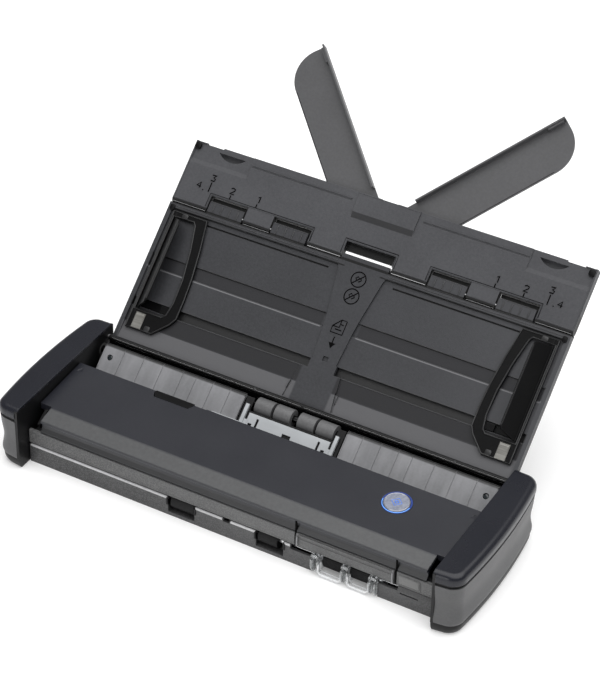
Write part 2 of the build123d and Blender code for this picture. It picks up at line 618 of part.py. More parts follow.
def recess(side):
    """Sunken field on one side of the centre rib, stepped up the tray."""
    cut = None
    for s0, s1, floor in ZONES:
        inner0, inner1 = rib_half(s0), rib_half(s1)
        if s1 < 25:
            inner0, inner1 = 13.6, 12.4
        points = [(side * inner0, s0), (side * 121.6, s0), (side * 121.6, s1), (side * inner1, s1)]
        step = plate(points, floor, 3)
        cut = step if cut is None else cut + step
    corner = (side * (rib_half(81.0) + 1.5), 79.5)
    cut -= block(*sorted((side * 10, corner[0])), corner[1], 90, -3, 3) - peg(*corner, -4, 4, 1.5)
    cut += plate([(side * 8.0, SLOT_S[0]), (side * 121.6, SLOT_S[0]), (side * 121.6, SLOT_S[1]),
                  (side * 8.0, SLOT_S[1])], -3, 3)
    ramp = [(1.6, -0.35), (12.0, -1.5), (12.0, 3.0), (1.6, 3.0)]
    face = Plane.YZ * make_face(Polyline(*ramp, close=True))
    wedge = extrude(face, 121.6 - 15.0)
    cut += Pos(15.0 if side > 0 else -121.6, 0, 0) * wedge
    cut += across(side, 20.0, 118.0, 77.1, 77.9, -2.2, 3)
    return cut


def tray_panel():
    """Paper side of the feed tray, with its round lower bar and the tongues at the top."""
    panel = block(-TRAY_HALF, TRAY_HALF, -0.3, TRAY_TOP, DECK, 0)
    for a, b in TONGUES:
        for x0, x1 in ((a, b), (-b, -a)):
            panel += block(x0, x1, TRAY_TOP - 1, 91.4, -4.4, -0.15)
    for a, b in TONGUE_FLOORS:
        for x0, x1 in ((a, b), (-b, -a)):
            panel += block(x0, x1, TRAY_TOP - 1, 94.2, -4.4, -3.6)
    panel += block(-14.6, 14.6, TRAY_TOP - 1, 87.6, -2.0, 0) + block(-15.2, 15.2, TRAY_TOP, 86.6, -3.2, -1.9)
    web = [(-1.6, DECK), (0.9, DECK), (0.9, 0.4), (0.4, PIVOT_N), (-1.2, PIVOT_N), (-1.6, 0.4)]
    panel += strip(web, -TRAY_HALF, TRAY_HALF)
    panel += rod(-TRAY_HALF, TRAY_HALF, PIVOT_S, PIVOT_N, BAR_R)
    panel -= block(-TRAY_HALF - 1, TRAY_HALF + 1, 1.0, 1.5, -0.6, 1)
    for side in (1, -1):
        panel -= recess(side)
        slit = [(side * 13.0, 13.0), (side * 14.2, 13.0), (side * 15.6, 2.2), (side * 14.6, 2.2)]
        panel -= plate(slit, -1.3, 1)
        panel -= rod(side * 117, side * 130, PIVOT_S, PIVOT_N, 1.0)
        for x0, x1 in ((51.0, 60.5), (78.5, 88.0)):
            panel -= rod(side * x0, side * x1, FOLD_S, FOLD_N, 1.0)
    panel -= block(-1.6, 1.6, 27.4, 30.2, -1.2, 1)
    return panel


def tray_shell():
    """Back of the feed tray, closed round the space for the racks."""
    shell = block(-TRAY_HALF, TRAY_HALF, 1.2, TRAY_TOP, -TRAY_THICK, -4.0)
    wall = block(-TRAY_HALF, TRAY_HALF, 1.2, TRAY_TOP, -4.0, DECK)
    wall -= block(-TRAY_HALF + 1.6, TRAY_HALF - 1.6, 3.0, TRAY_TOP - 1.6, -5, 0)
    shell += wall + block(-TRAY_HALF, TRAY_HALF, TRAY_TOP - 1, 85.0, -TRAY_THICK, -4.5)
    for s in (44.0, 62.0):
        shell += block(-110, 110, s, s + 1.2, -4.0, DECK)
    for a, b in TONGUE_FLOORS:
        for x0, x1 in ((a, b), (-b, -a)):
            shell -= block(x0 - 0.05, x1 + 0.05, TRAY_TOP - 1.05, 95, -4.45, 1)
    shell -= block(-14.7, 14.7, TRAY_TOP - 1.05, 95, -2.1, 1)
    return shell + peg(0, PINION_S, -4.2, -2.8, 1.5)


def tooth(width_root, width_tip, height):
    """Outline of one straight-sided tooth standing on the x axis."""
    return [(-width_root / 2, -0.05), (width_root / 2, -0.05), (width_tip / 2, height), (-width_tip / 2, height)]


def guide_pinion():
    """Small pinion that moves both side guides together."""
    pitch_r = MODULE * PINION_TEETH / 2
    root_r = pitch_r - 0.9
    gear = peg(0, 0, *RACK_N, root_r)
    for i in range(PINION_TEETH):
        one = Pos(0, root_r, 0) * plate(tooth(1.35, 0.5, 1.45), *RACK_N)
        gear += Rot(0, 0, i * 360 / PINION_TEETH) * one
    gear -= peg(0, 0, -6, 6, 1.55)
    return Pos(0, PINION_S, 0) * gear


def rack(side):
    """Toothed bar of one side guide; it reaches past the pinion in the middle."""
    pitch_r = MODULE * PINION_TEETH / 2
    pitch = pi * MODULE
    edge = pitch_r + 0.9
    x0, x1 = -102.0, 14.0
    bar = block(x0, x1, PINION_S + edge, PINION_S + edge + 2.2, *RACK_N)
    for i in range(-38, 6):
        x = (i + 0.5) * pitch
        points = [(x - 0.68, PINION_S + edge + 0.05), (x + 0.68, PINION_S + edge + 0.05),
                  (x + 0.25, PINION_S + edge - 1.45), (x - 0.25, PINION_S + edge - 1.45)]
        bar += plate(points, *RACK_N)
    if side < 0:
        return bar
    return Pos(0, 2 * PINION_S, 0) * Rot(0, 0, 180) * bar


def guide_base(side):
    """Sliding side guide: ring on the tray, foot through the slot and its rack."""
    ring = plate(GUIDE_OUTLINE, *RING_N) - plate(WINDOW_OUTLINE, -2, 2)
    ring = ring - rod_s(GUIDE_HINGE_X, -0.15, 18.0, 79.0, 0.55)
    ring -= block(109.8, 116.2, 9.2, 18.8, 0.2, 2)
    if side < 0:
        ring = mirrored(ring)
    foot = across(side, 98.0, 117.0, 22.3, 26.4, *RACK_N)
    bridge = (PINION_S + 5.0, 31.2) if side < 0 else (15.8, PINION_S - 5.0)
    foot += across(side, 98.0, 104.0, min(bridge[0], 22.3), max(bridge[1], 26.4), *RACK_N)
    link = across(side, 97.6, 103.6, 22.3, 26.4, RACK_N[1], RING_N[0])
    return ring + foot + link + rack(side)


def rod_s(x, n, s0, s1, radius):
    """A round bar up the tray."""
    return Pos(x, (s0 + s1) / 2, n) * Rot(90, 0, 0) * Cylinder(radius, s1 - s0)


def guide_wall():
    """Fold-up side guide, drawn standing at its lean on the right side."""
    flat = plate([(0, 21.0), (WALL_LENGTH, 24.0), (WALL_LENGTH, 74.0), (0, 75.6)], -0.6, 0.6)
    flat = fillet(flat.edges().filter_by(Axis.Z).sort_by(Axis.X)[-2:], 2.0)
    flat += block(WALL_LENGTH - 1.4, WALL_LENGTH, 27.0, 71.0, 0.4, 0.95)
    turned = Rot(0, 180 + WALL_LEAN, 0) * flat
    turned += rod_s(0, 0, 21.0, 75.6, 0.8) + rod_s(0, 0, 18.6, 78.4, 0.5)
    return Pos(GUIDE_HINGE_X, 0, -0.15) * turned


def extension_outline():
    """Plan of the tray extension with its hinge notches."""
    s0, s1 = EXT_S
    sheet = block(-TRAY_HALF, TRAY_HALF, s0, s1, -1, 1)
    for side in (1, -1):
        sheet -= across(side, *NOTCH_SIDE, s0 - 1, NOTCH_S, -2, 2)
    return sheet - block(-NOTCH_MID, NOTCH_MID, s0 - 1, NOTCH_S, -2, 2)


def finger_windows(z0, z1):
    """Half-round finger windows over the arms' edges, closed at the back."""
    holes = None
    for side in (1, -1):
        hole = peg(side * 99.8, 127.2, z0, z1, 11.6) & block(-200, 200, 100, 119.4, z0, z1)
        holes = hole if holes is None else holes + hole
    return holes


def extension_panel():
    """Paper side of the extension with its raised middle and sunken ends."""
    s1 = EXT_S[1]
    panel = extension_outline() & block(-200, 200, 0, 200, -1, 1)
    panel = Pos(0, 0, -1.2) * panel & block(-200, 200, 0, 200, -2.2, 0)
    centre = strip([(107.6, -0.5), (111.0, 0.8), (s1, 0.8), (s1, -0.5)], -19.0, 19.0)
    panel += centre - block(-5.0, 5.0, s1 - 1.0, s1 + 1, -0.4, 2)
    for side in (1, -1):
        panel -= strip([(108.7, 0.01), (112.0, -0.9), (s1 + 1, -0.9), (s1 + 1, 1.0), (108.7, 1.0)],
                       *sorted((side * 86.6, side * 123.2)))
        panel -= across(side, 22.0, 86.0, 116.6, 117.4, -0.5, 1)
        panel -= across(side, 106.5, 117.0, 121.2, s1 + 1, -3, 1)
        knuckle = across(side, KNUCKLE[0], KNUCKLE[1], FOLD_S, NOTCH_S + 1, -2.2, -0.1)
        knuckle += rod(side * KNUCKLE[0], side * KNUCKLE[1], FOLD_S, FOLD_N, 2.4)
        knuckle += across(side, KNUCKLE[0], KNUCKLE[1], FOLD_S, 90.0, -4.9, -0.2)
        knuckle += across(side, KNUCKLE[0], KNUCKLE[1], 89.0, NOTCH_S, -4.3, -2.1)
        panel += knuckle - rod(side * 50, side * 90, FOLD_S, FOLD_N, 1.05)
        for x0, x1 in BEADS:
            panel += rod(side * x0, side * x1, FOLD_S, FOLD_N, 2.5)
        for x in (74.0, 91.0, 108.0):
            panel -= block(side * x - 0.25, side * x + 0.25, 95.6, 98.6, -0.35, 1)
        panel -= across(side, 104.75, 105.25, 95.6, 101.6, -0.35, 1)
    return panel - finger_windows(-3, 2)


def extension_shell():
    """Back of the extension; the two arms turn between it and the panel."""
    s0, s1 = EXT_S
    shell = Pos(0, 0, -4.8) * extension_outline() & block(-200, 200, 0, 200, EXT_N, -4.4)
    rim = Pos(0, 0, -3.0) * extension_outline() & block(-200, 200, 0, 200, -4.4, -2.2)
    rim -= block(-119.4, 119.4, 98.7, s1 + 1, -6, 0)
    shell += rim + block(-1.2, 1.2, 98.0, s1, -4.4, -2.2)
    shell += block(-NOTCH_MID - 0.5, NOTCH_MID + 0.5, 89.9, NOTCH_S + 0.5, EXT_N, -3.6)
    for side in (1, -1):
        shell += peg(side * ARM_PIVOT[0], ARM_PIVOT[1], -4.5, -2.2, 3.0)
        shell -= across(side, KNUCKLE[0] - 0.1, KNUCKLE[1] + 0.1, s0 - 1, 90.1, -5.3, 0)
        for x0, x1 in BEADS:
            shell -= rod(side * (x0 - 1), side * (x1 + 1), FOLD_S, FOLD_N, 2.55)
    return shell


def arm():
    """Swing-out paper support of the right side, drawn stowed and then opened."""
    low, high = -12.4, 12.1
    points = [(0, high), (ARM_LENGTH, high), (ARM_LENGTH, low), (0, low)]
    sheet = plate(points, *ARM_N)
    tip = sheet.edges().filter_by(Axis.Z).sort_by(lambda e: e.center().X - e.center().Y)[-1]
    sheet = fillet(tip, 18.0)
    sheet += peg(0, 0, *ARM_N, 12.4)
    sheet += block(10.5, ARM_LENGTH, high - 1.0, high, ARM_N[0], 1.5)
    sheet += block(ARM_LENGTH - 11.0, ARM_LENGTH - 1.5, high - 2.2, high - 1.0, ARM_N[1], 0.6)
    sheet -= peg(0, 0, -6, 6, 3.05)
    return Pos(*ARM_PIVOT, 0) * Rot(0, 0, ARM_OPEN) * sheet


def make_tray():
    save("tray_panel", tilt(tray_panel()))
    save("tray_shell", tilt(tray_shell()))
    pin = rod(117.1, 126.4, PIVOT_S, PIVOT_N, 1.0) + rod(124.35, 126.4, PIVOT_S, PIVOT_N, 1.5)
    save("tray_hinge_pins", tilt(pin), tilt(mirrored(pin)))
    save("guide_pinion", tilt(guide_pinion()))
    for name, side in (("left", -1), ("right", 1)):
        save("guide_base_" + name, tilt(guide_base(side)))
    clip = block(110.0, 116.0, 9.4, 18.6, 0.2, 0.6)
    save("guide_clip_right", tilt(clip))
    save("guide_clip_left", tilt(mirrored(clip)))
    save("guide_wall_right", tilt(guide_wall()))
    save("guide_wall_left", tilt(mirrored(guide_wall())))
    hinge = rod(51.2, 87.8, FOLD_S, FOLD_N, 1.0)
    save("extension_hinge_pins", tilt(hinge), tilt(mirrored(hinge)))
    save("extension_panel", tilt(extension_panel()))
    save("extension_shell", tilt(extension_shell()))
    save("arm_right", tilt(arm()))
    save("arm_left", tilt(mirrored(arm())))


os.makedirs("parts", exist_ok=True)
make_end_housings()
make_lower_unit()
make_rollers()
make_upper_unit()
make_tray()
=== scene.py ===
import math

import bmesh
import bpy
from mathutils import Matrix, Vector

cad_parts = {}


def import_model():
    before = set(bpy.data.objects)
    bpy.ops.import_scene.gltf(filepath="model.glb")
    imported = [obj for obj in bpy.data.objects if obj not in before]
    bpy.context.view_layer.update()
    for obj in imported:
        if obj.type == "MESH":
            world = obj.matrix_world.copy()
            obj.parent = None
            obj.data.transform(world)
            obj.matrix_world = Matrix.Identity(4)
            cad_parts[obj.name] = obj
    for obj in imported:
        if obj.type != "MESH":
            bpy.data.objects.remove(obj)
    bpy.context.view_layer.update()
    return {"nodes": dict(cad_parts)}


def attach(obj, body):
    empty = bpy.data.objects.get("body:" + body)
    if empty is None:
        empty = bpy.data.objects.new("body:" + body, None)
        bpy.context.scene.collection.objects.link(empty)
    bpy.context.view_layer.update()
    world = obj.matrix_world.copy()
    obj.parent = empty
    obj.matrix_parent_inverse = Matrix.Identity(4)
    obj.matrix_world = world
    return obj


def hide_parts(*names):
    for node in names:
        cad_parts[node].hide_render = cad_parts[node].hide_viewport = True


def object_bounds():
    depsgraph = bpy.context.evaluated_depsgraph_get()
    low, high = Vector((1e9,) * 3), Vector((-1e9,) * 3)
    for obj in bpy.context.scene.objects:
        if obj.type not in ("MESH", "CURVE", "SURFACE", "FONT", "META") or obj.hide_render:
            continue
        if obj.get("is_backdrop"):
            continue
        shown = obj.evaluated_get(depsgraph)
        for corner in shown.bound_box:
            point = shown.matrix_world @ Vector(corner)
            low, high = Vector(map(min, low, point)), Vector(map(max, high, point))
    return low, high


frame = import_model()

# Shapes and their places are given in mm and become metres through MM; a material's edge is in metres.
MM = 0.001
SIDES = ((-1, "left"), (1, "right"))

# The open tray: its hinge corner, its rise above the level, and its two directions.
TRAY_Y, TRAY_Z = 43.84, 31.37
TILT = math.radians(41.1)
UP_TRAY = (0, math.cos(TILT), math.sin(TILT))
OFF_TRAY = (0, -math.sin(TILT), math.cos(TILT))
TRAY_FOOT = (TRAY_Y * math.cos(TILT) + TRAY_Z * math.sin(TILT)) * MM
TRAY_FACE = (TRAY_Z * math.cos(TILT) - TRAY_Y * math.sin(TILT)) * MM

# Where the swing-out arms turn on the extension (x, s on the tray) and how far they are open.
ARM_X, ARM_S = 15.0, 111.7
ARM_OPEN = math.radians(48.3)

# The standing side guides: root line on the tray, and angle to its face as they lean in over the paper.
WALL_X, WALL_N = 117.0, -0.15
WALL_LEAN = math.radians(51.7)

# Middle of the start button's ring, and the slope of the cover it sits in.
BUTTON_X, BUTTON_Y, BUTTON_Z = 81.0, -2.5, 33.05
COVER_SLOPE = math.atan(0.055)

# Upper edge of the feed guides and their slope down to the rollers.
GUIDE_Y, GUIDE_Z = 35.2, 34.0
GUIDE_SLOPE = math.radians(39.0)

# Camera at the photograph's viewing angle: place in metres, angles in degrees, lens in mm.
CAMERA_PLACE = (0.53288, -0.91713, 0.89241)
CAMERA_AZIMUTH, CAMERA_ELEVATION, CAMERA_ROLL = 29.18, 36.65, 1.07
CAMERA_LENS, CAMERA_SENSOR = 135.62, 36
CAMERA_NEAR, CAMERA_FAR = 0.05, 20

# Studio: light strengths, the floor's half size in metres and the glow that keeps it white.
SKY, OVERHEAD, FILL = 0.42, 3.0, 7
OVERHEAD_FROM = (0.18, 0.05, 1)
OVERHEAD_SPREAD = math.radians(80)
FILL_PLACE, FILL_TARGET, FILL_SIZE = (-0.5, -1.7, 0.5), (0, 0, 0.05), 0.8
FLOOR_HALF, FLOOR_GLOW = 6.0, 0.16

SHARP_ANGLE = math.radians(38)  # sharper edges than this stay crisp in the pieces' shading
BEAD_SIDES, LINE_SIDES, BAR_SIDES = 8, 6, 12

# ---------------------------------------------------------------- materials

BEVEL_SAMPLES = 4
FULL_EDGE, NO_EDGE = 0.75, 0.97  # cosine between the rounded and the true normal
CLOUDS, SPECKS = 24, 750  # coarse and fine mottling of plastic, in cells per metre


class Shader:
    """Small helper that strings procedural nodes together for one material."""

    def __init__(self, name):
        self.material = bpy.data.materials.new(name)
        self.material.use_nodes = True
        self.tree = self.material.node_tree
        self.nodes = self.tree.nodes
        self.bsdf = self.nodes["Principled BSDF"]
        self.place = self.nodes.new("ShaderNodeTexCoord").outputs["Object"]

    def link(self, a, b):
        self.tree.links.new(a, b)

    def drive(self, **values):
        """Links node outputs to the shader's sockets of those names."""
        for name, value in values.items():
            self.link(value, self.bsdf.inputs[name.replace("_", " ")])

    def set(self, **values):
        """Sets plain values on the shader's sockets of those names."""
        for name, value in values.items():
            self.bsdf.inputs[name.replace("_", " ")].default_value = value

    def spot(self, stretch):
        """The texture place, scaled by stretch where one is given."""
        if stretch is None:
            return self.place
        node = self.nodes.new("ShaderNodeMapping")
        node.inputs["Scale"].default_value = stretch
        self.link(self.place, node.inputs["Vector"])
        return node.outputs["Vector"]

    def noise(self, scale, detail=3.0, rough=0.55, stretch=None):
        """A noise of so many cells per metre, 0 to 1."""
        node = self.nodes.new("ShaderNodeTexNoise")
        node.inputs["Scale"].default_value = scale
        node.inputs["Detail"].default_value = detail
        node.inputs["Roughness"].default_value = rough
        self.link(self.spot(stretch), node.inputs["Vector"])
        return node.outputs["Fac"]

    def cells(self, scale):
        """Distance to the nearest of scattered points, so many to the metre."""
        node = self.nodes.new("ShaderNodeTexVoronoi")
        node.inputs["Scale"].default_value = scale
        self.link(self.place, node.inputs["Vector"])
        return node.outputs["Distance"]

    def span(self, value, low, high, a=0.3, b=0.7):
        """Maps value from a..b to low..high and holds it there."""
        node = self.nodes.new("ShaderNodeMapRange")
        node.inputs["From Min"].default_value = a
        node.inputs["From Max"].default_value = b
        node.inputs["To Min"].default_value = low
        node.inputs["To Max"].default_value = high
        self.link(value, node.inputs["Value"])
        return node.outputs["Result"]

    def math(self, kind, a, b):
        node = self.nodes.new("ShaderNodeMath")
        node.operation = kind
        for k, x in enumerate((a, b)):
            if isinstance(x, (int, float)):
                node.inputs[k].default_value = x
            else:
                self.link(x, node.inputs[k])
        return node.outputs[0]

    def mix(self, fac, a, b):
        """Colour a where fac is 0, colour b where it is 1."""
        node = self.nodes.new("ShaderNodeMix")
        node.data_type = "RGBA"
        self.link(fac, node.inputs[0])
        for k, c in ((6, a), (7, b)):
            if isinstance(c, tuple):
                node.inputs[k].default_value = (*c, 1)
            else:
                self.link(c, node.inputs[k])
        return node.outputs[2]

    def axis(self, direction):
        """Distance along a direction of the part's own frame, in metres."""
        node = self.nodes.new("ShaderNodeVectorMath")
        node.operation = "DOT_PRODUCT"
        self.link(self.place, node.inputs[0])
        node.inputs[1].default_value = direction
        return node.outputs["Value"]

    def band(self, value, low, high, soft):
        """1 between low and high, falling to 0 within soft on both sides; all in mm."""
        rise = self.span(value, 0, 1, (low - soft) * MM, low * MM)
        fall = self.span(value, 1, 0, high * MM, (high + soft) * MM)
        return self.math("MULTIPLY", rise, fall)

    def edge(self, radius):
        """How much a point lies on a sharp edge, 0 on flats, and the rounded normal."""
        bevel = self.nodes.new("ShaderNodeBevel")
        bevel.samples = BEVEL_SAMPLES
        bevel.inputs["Radius"].default_value = radius
        normal = self.nodes.new("ShaderNodeNewGeometry").outputs["Normal"]
        dot = self.nodes.new("ShaderNodeVectorMath")
        dot.operation = "DOT_PRODUCT"
        self.link(bevel.outputs[0], dot.inputs[0])
        self.link(normal, dot.inputs[1])
        return self.span(dot.outputs["Value"], 1.0, 0.0, FULL_EDGE, NO_EDGE), bevel.outputs[0]

    def bump(self, height, strength, distance, normal):
        node = self.nodes.new("ShaderNodeBump")
        node.inputs["Strength"].default_value = strength
        node.inputs["Distance"].default_value = distance
        self.link(height, node.inputs["Height"])
        self.link(normal, node.inputs["Normal"])
        self.link(node.outputs[0], self.bsdf.inputs["Normal"])


def darker(colour, share):
    return tuple(c * share for c in colour)


def moulded(
    name,
    dark,
    light,
    rough=(0.42, 0.5),
    grain=2600,
    depth=0.05,
    edge=0.00035,
    edge_highlight=None,
    metal=0.0,
    spec=0.5,
    tone=None,
):
    """Moulded plastic: fine grain, faint mottling, softened edges with a slight painted highlight."""
    s = Shader(name)
    clouds = s.math("MULTIPLY", s.noise(CLOUDS, 4), 0.5)
    specks = s.math("MULTIPLY", s.noise(SPECKS, 2), 0.5)
    mottle = s.mix(s.span(s.math("ADD", clouds, specks), 0, 1), dark, light)
    if tone is not None:
        mottle = tone(s, mottle)
    highlight_mask, round_normal = s.edge(edge)
    if edge_highlight is None:
        edge_highlight = tuple(min(1.0, c * 1.9 + 0.01) for c in light)
    # Painted highlight: the edges are lightened in patches towards the edge colour.
    highlight_patch = s.math("MULTIPLY", highlight_mask, s.span(s.noise(60, 3), 0.15, 0.7))
    s.drive(Base_Color=s.mix(highlight_patch, mottle, edge_highlight), Roughness=s.span(s.noise(38, 4), *rough))
    s.set(Metallic=metal, Specular_IOR_Level=spec)
    s.bump(s.noise(grain, 3, 0.6), depth, 0.4 * MM, round_normal)
    return s.material


def pebbled(name, dark, light):
    """Fine leather-like grain of the front: cells with dark creases."""
    s = Shader(name)
    highlight_mask, round_normal = s.edge(0.3 * MM)
    crease = s.span(s.cells(1500), 0, 1, 0.1, 0.62)
    tone = s.mix(crease, light, dark)
    tone = s.mix(s.span(s.noise(14, 3), 0, 0.45), tone, light)
    # Painted highlight: the edges lightened towards a paler colour.
    edge_highlight = s.mix(s.math("MULTIPLY", highlight_mask, 0.6), tone, tuple(c * 1.7 for c in light))
    s.drive(Base_Color=edge_highlight, Roughness=s.span(s.noise(300, 3), 0.36, 0.5))
    s.bump(s.math("MULTIPLY", crease, -1.0), 0.45, 0.3 * MM, round_normal)
    return s.material


def brushed(name, dark, light, rough, metal=1.0, stretch=(0.06, 1, 1), streaks=900):
    """Turned or drawn metal with fine streaks."""
    s = Shader(name)
    streak = s.noise(streaks, 3, 0.6, stretch)
    s.drive(Base_Color=s.mix(s.span(streak, 0, 1), dark, light), Roughness=s.span(s.noise(120, 3), *rough))
    s.set(Metallic=metal)
    s.bump(streak, 0.03, 0.2 * MM, s.edge(0.2 * MM)[1])
    return s.material


def see_through(name, colour, rough, transmission):
    """Clear or milky plastic with faint flow lines."""
    s = Shader(name)
    flow = s.noise(70, 3, 0.5, (1, 3, 1))
    tint = s.mix(s.span(flow, 0, 1), colour, darker(colour, 0.88))
    s.drive(Base_Color=tint, Roughness=s.span(s.noise(200, 2), *rough))
    s.set(IOR=1.49, Transmission_Weight=transmission)
    s.bump(flow, 0.05, 0.4 * MM, s.edge(0.3 * MM)[1])
    return s.material


def lit(name, colour, glow, strength):
    """Lit plastic of the start button: glows unevenly over its surface."""
    s = Shader(name)
    s.drive(
        Base_Color=s.mix(s.span(s.noise(180, 3), 0, 1), colour, darker(colour, 0.7)),
        Emission_Color=s.mix(s.span(s.noise(90, 2), 0, 1), glow, darker(glow, 0.6)),
        Roughness=s.span(s.noise(200, 2), 0.25, 0.35),
    )
    s.set(Emission_Strength=strength)
    return s.material


def slope_light_shade(s, base):
    """Front slope of the cover paler grey as painted light; its lip darker again in painted shade, darkest
    at its foot.
    """
    y, z = s.axis((0, 1, 0)), s.axis((0, 0, 1))
    grey = s.mix(s.span(s.noise(500, 3), 0, 1), (0.040, 0.041, 0.043), (0.052, 0.053, 0.055))
    lip = s.mix(s.span(z, 1, 0, 24.5 * MM, 26.2 * MM), (0.012, 0.013, 0.018), (0.004, 0.0045, 0.006))
    grey = s.mix(s.span(z, 1, 0, 28.8 * MM, 29.6 * MM), grey, lip)
    return s.mix(s.span(y, 1, 0, -28.3 * MM, -26.8 * MM), base, grey)


def pit_shade(s, base):
    """Painted shade, darker in the parts of the tray that lie below its face."""
    depth = s.math("SUBTRACT", s.axis(OFF_TRAY), TRAY_FACE)
    return s.mix(s.span(depth, 1, 0, -4.4 * MM, -2.4 * MM), base, (0.003, 0.003, 0.0033))


# Zones of the tray's face, most of them painted light and shade: low, high and soft edge up the tray, the
# same outwards, and the shade.
FIELD = (11.5, 121.4, 1.0)
TRAY_ZONES = (
    ((1.9, 11.8, 0.2), FIELD, (0.085, 0.085, 0.090)),
    ((12.6, 21.0, 0.6), FIELD, (0.017, 0.017, 0.019)),
    # Painted shade in the deep slot, a painted highlight on the ridge, painted shade in the band and step
    # above it.
    ((21.9, 26.9, 0.15), FIELD, (0.0015, 0.0015, 0.0016)),
    ((44.9, 45.8, 0.3), FIELD, (0.15, 0.15, 0.157)),
    ((46.2, 52.6, 0.5), FIELD, (0.020, 0.020, 0.0225)),
    ((52.9, 53.5, 0.2), FIELD, (0.002, 0.002, 0.0022)),
    # Painted shade in a groove and along the step near the top; then the black round bar.
    ((77.0, 78.0, 0.15), (20.0, 118.0, 0.2), (0.0015, 0.0015, 0.0016)),
    ((80.7, 81.3, 0.2), FIELD, (0.004, 0.004, 0.0044)),
    ((-3.0, 1.4, 0.1), (-1.0, 124.0, 0.5), (0.0018, 0.0018, 0.002)),
    # Painted shade on the floors of the hinge notches and in the gap below the extension.
    ((91.45, 96.0, 0.05), (16.0, 124.0, 0.5), (0.0015, 0.0015, 0.0016)),
    ((83.75, 85.2, 0.1), (-1.0, 124.9, 0.5), (0.002, 0.002, 0.0022)),
)


def relief_light_shade(s, base):
    """Tray in painted light and shade: a little paler to the right, dark grooves, pale ridge lines; a
    black round bar.
    """
    up = s.math("SUBTRACT", s.axis(UP_TRAY), TRAY_FOOT)
    outwards = s.math("ABSOLUTE", s.axis((1, 0, 0)), 0)
    # Painted light: paler towards the right.
    lit_to_right = s.span(s.axis((1, 0, 0)), 0, 0.55, 0.0, 120 * MM)
    base = s.mix(lit_to_right, base, (0.060, 0.061, 0.066))
    for rows, columns, shade in TRAY_ZONES:
        zone = s.math("MULTIPLY", s.band(up, *rows), s.band(outwards, *columns))
        base = s.mix(zone, base, shade)
    return base


def fold_tone(s, base):
    """Extension: painted shade on its hinge edge, inside its notches and on a darker ramp in the middle.
    """
    up = s.math("SUBTRACT", s.axis(UP_TRAY), TRAY_FOOT)
    depth = s.math("SUBTRACT", s.axis(OFF_TRAY), TRAY_FACE)
    outwards = s.math("ABSOLUTE", s.axis((1, 0, 0)), 0)
    hinge_edge = s.band(up, 80.0, 86.5, 0.5)
    sunk = s.span(depth, 1, 0, -0.9 * MM, -0.4 * MM)
    notches = s.math("MULTIPLY", sunk, s.band(up, 80.0, 95.6, 0.2))
    ramp = s.math("MULTIPLY", s.band(up, 107.9, 110.9, 0.3), s.band(outwards, -1.0, 18.8, 0.2))
    base = s.mix(ramp, base, (0.020, 0.020, 0.022))
    return s.mix(s.math("MAXIMUM", hinge_edge, notches), base, (0.0018, 0.0018, 0.002))


def guide_tone(s, base):
    """Feed guide: long pale streaks, and the top lip dark in the tray's shade."""
    lip = s.span(s.axis((0, 0, 1)), 0, 1, 32.9 * MM, 33.4 * MM)
    streak = s.span(s.noise(90, 3, 0.6, (1, 0.25, 0.25)), 0, 0.6)
    base = s.mix(streak, base, (0.30, 0.30, 0.315))
    return s.mix(lip, base, (0.004, 0.004, 0.0045))


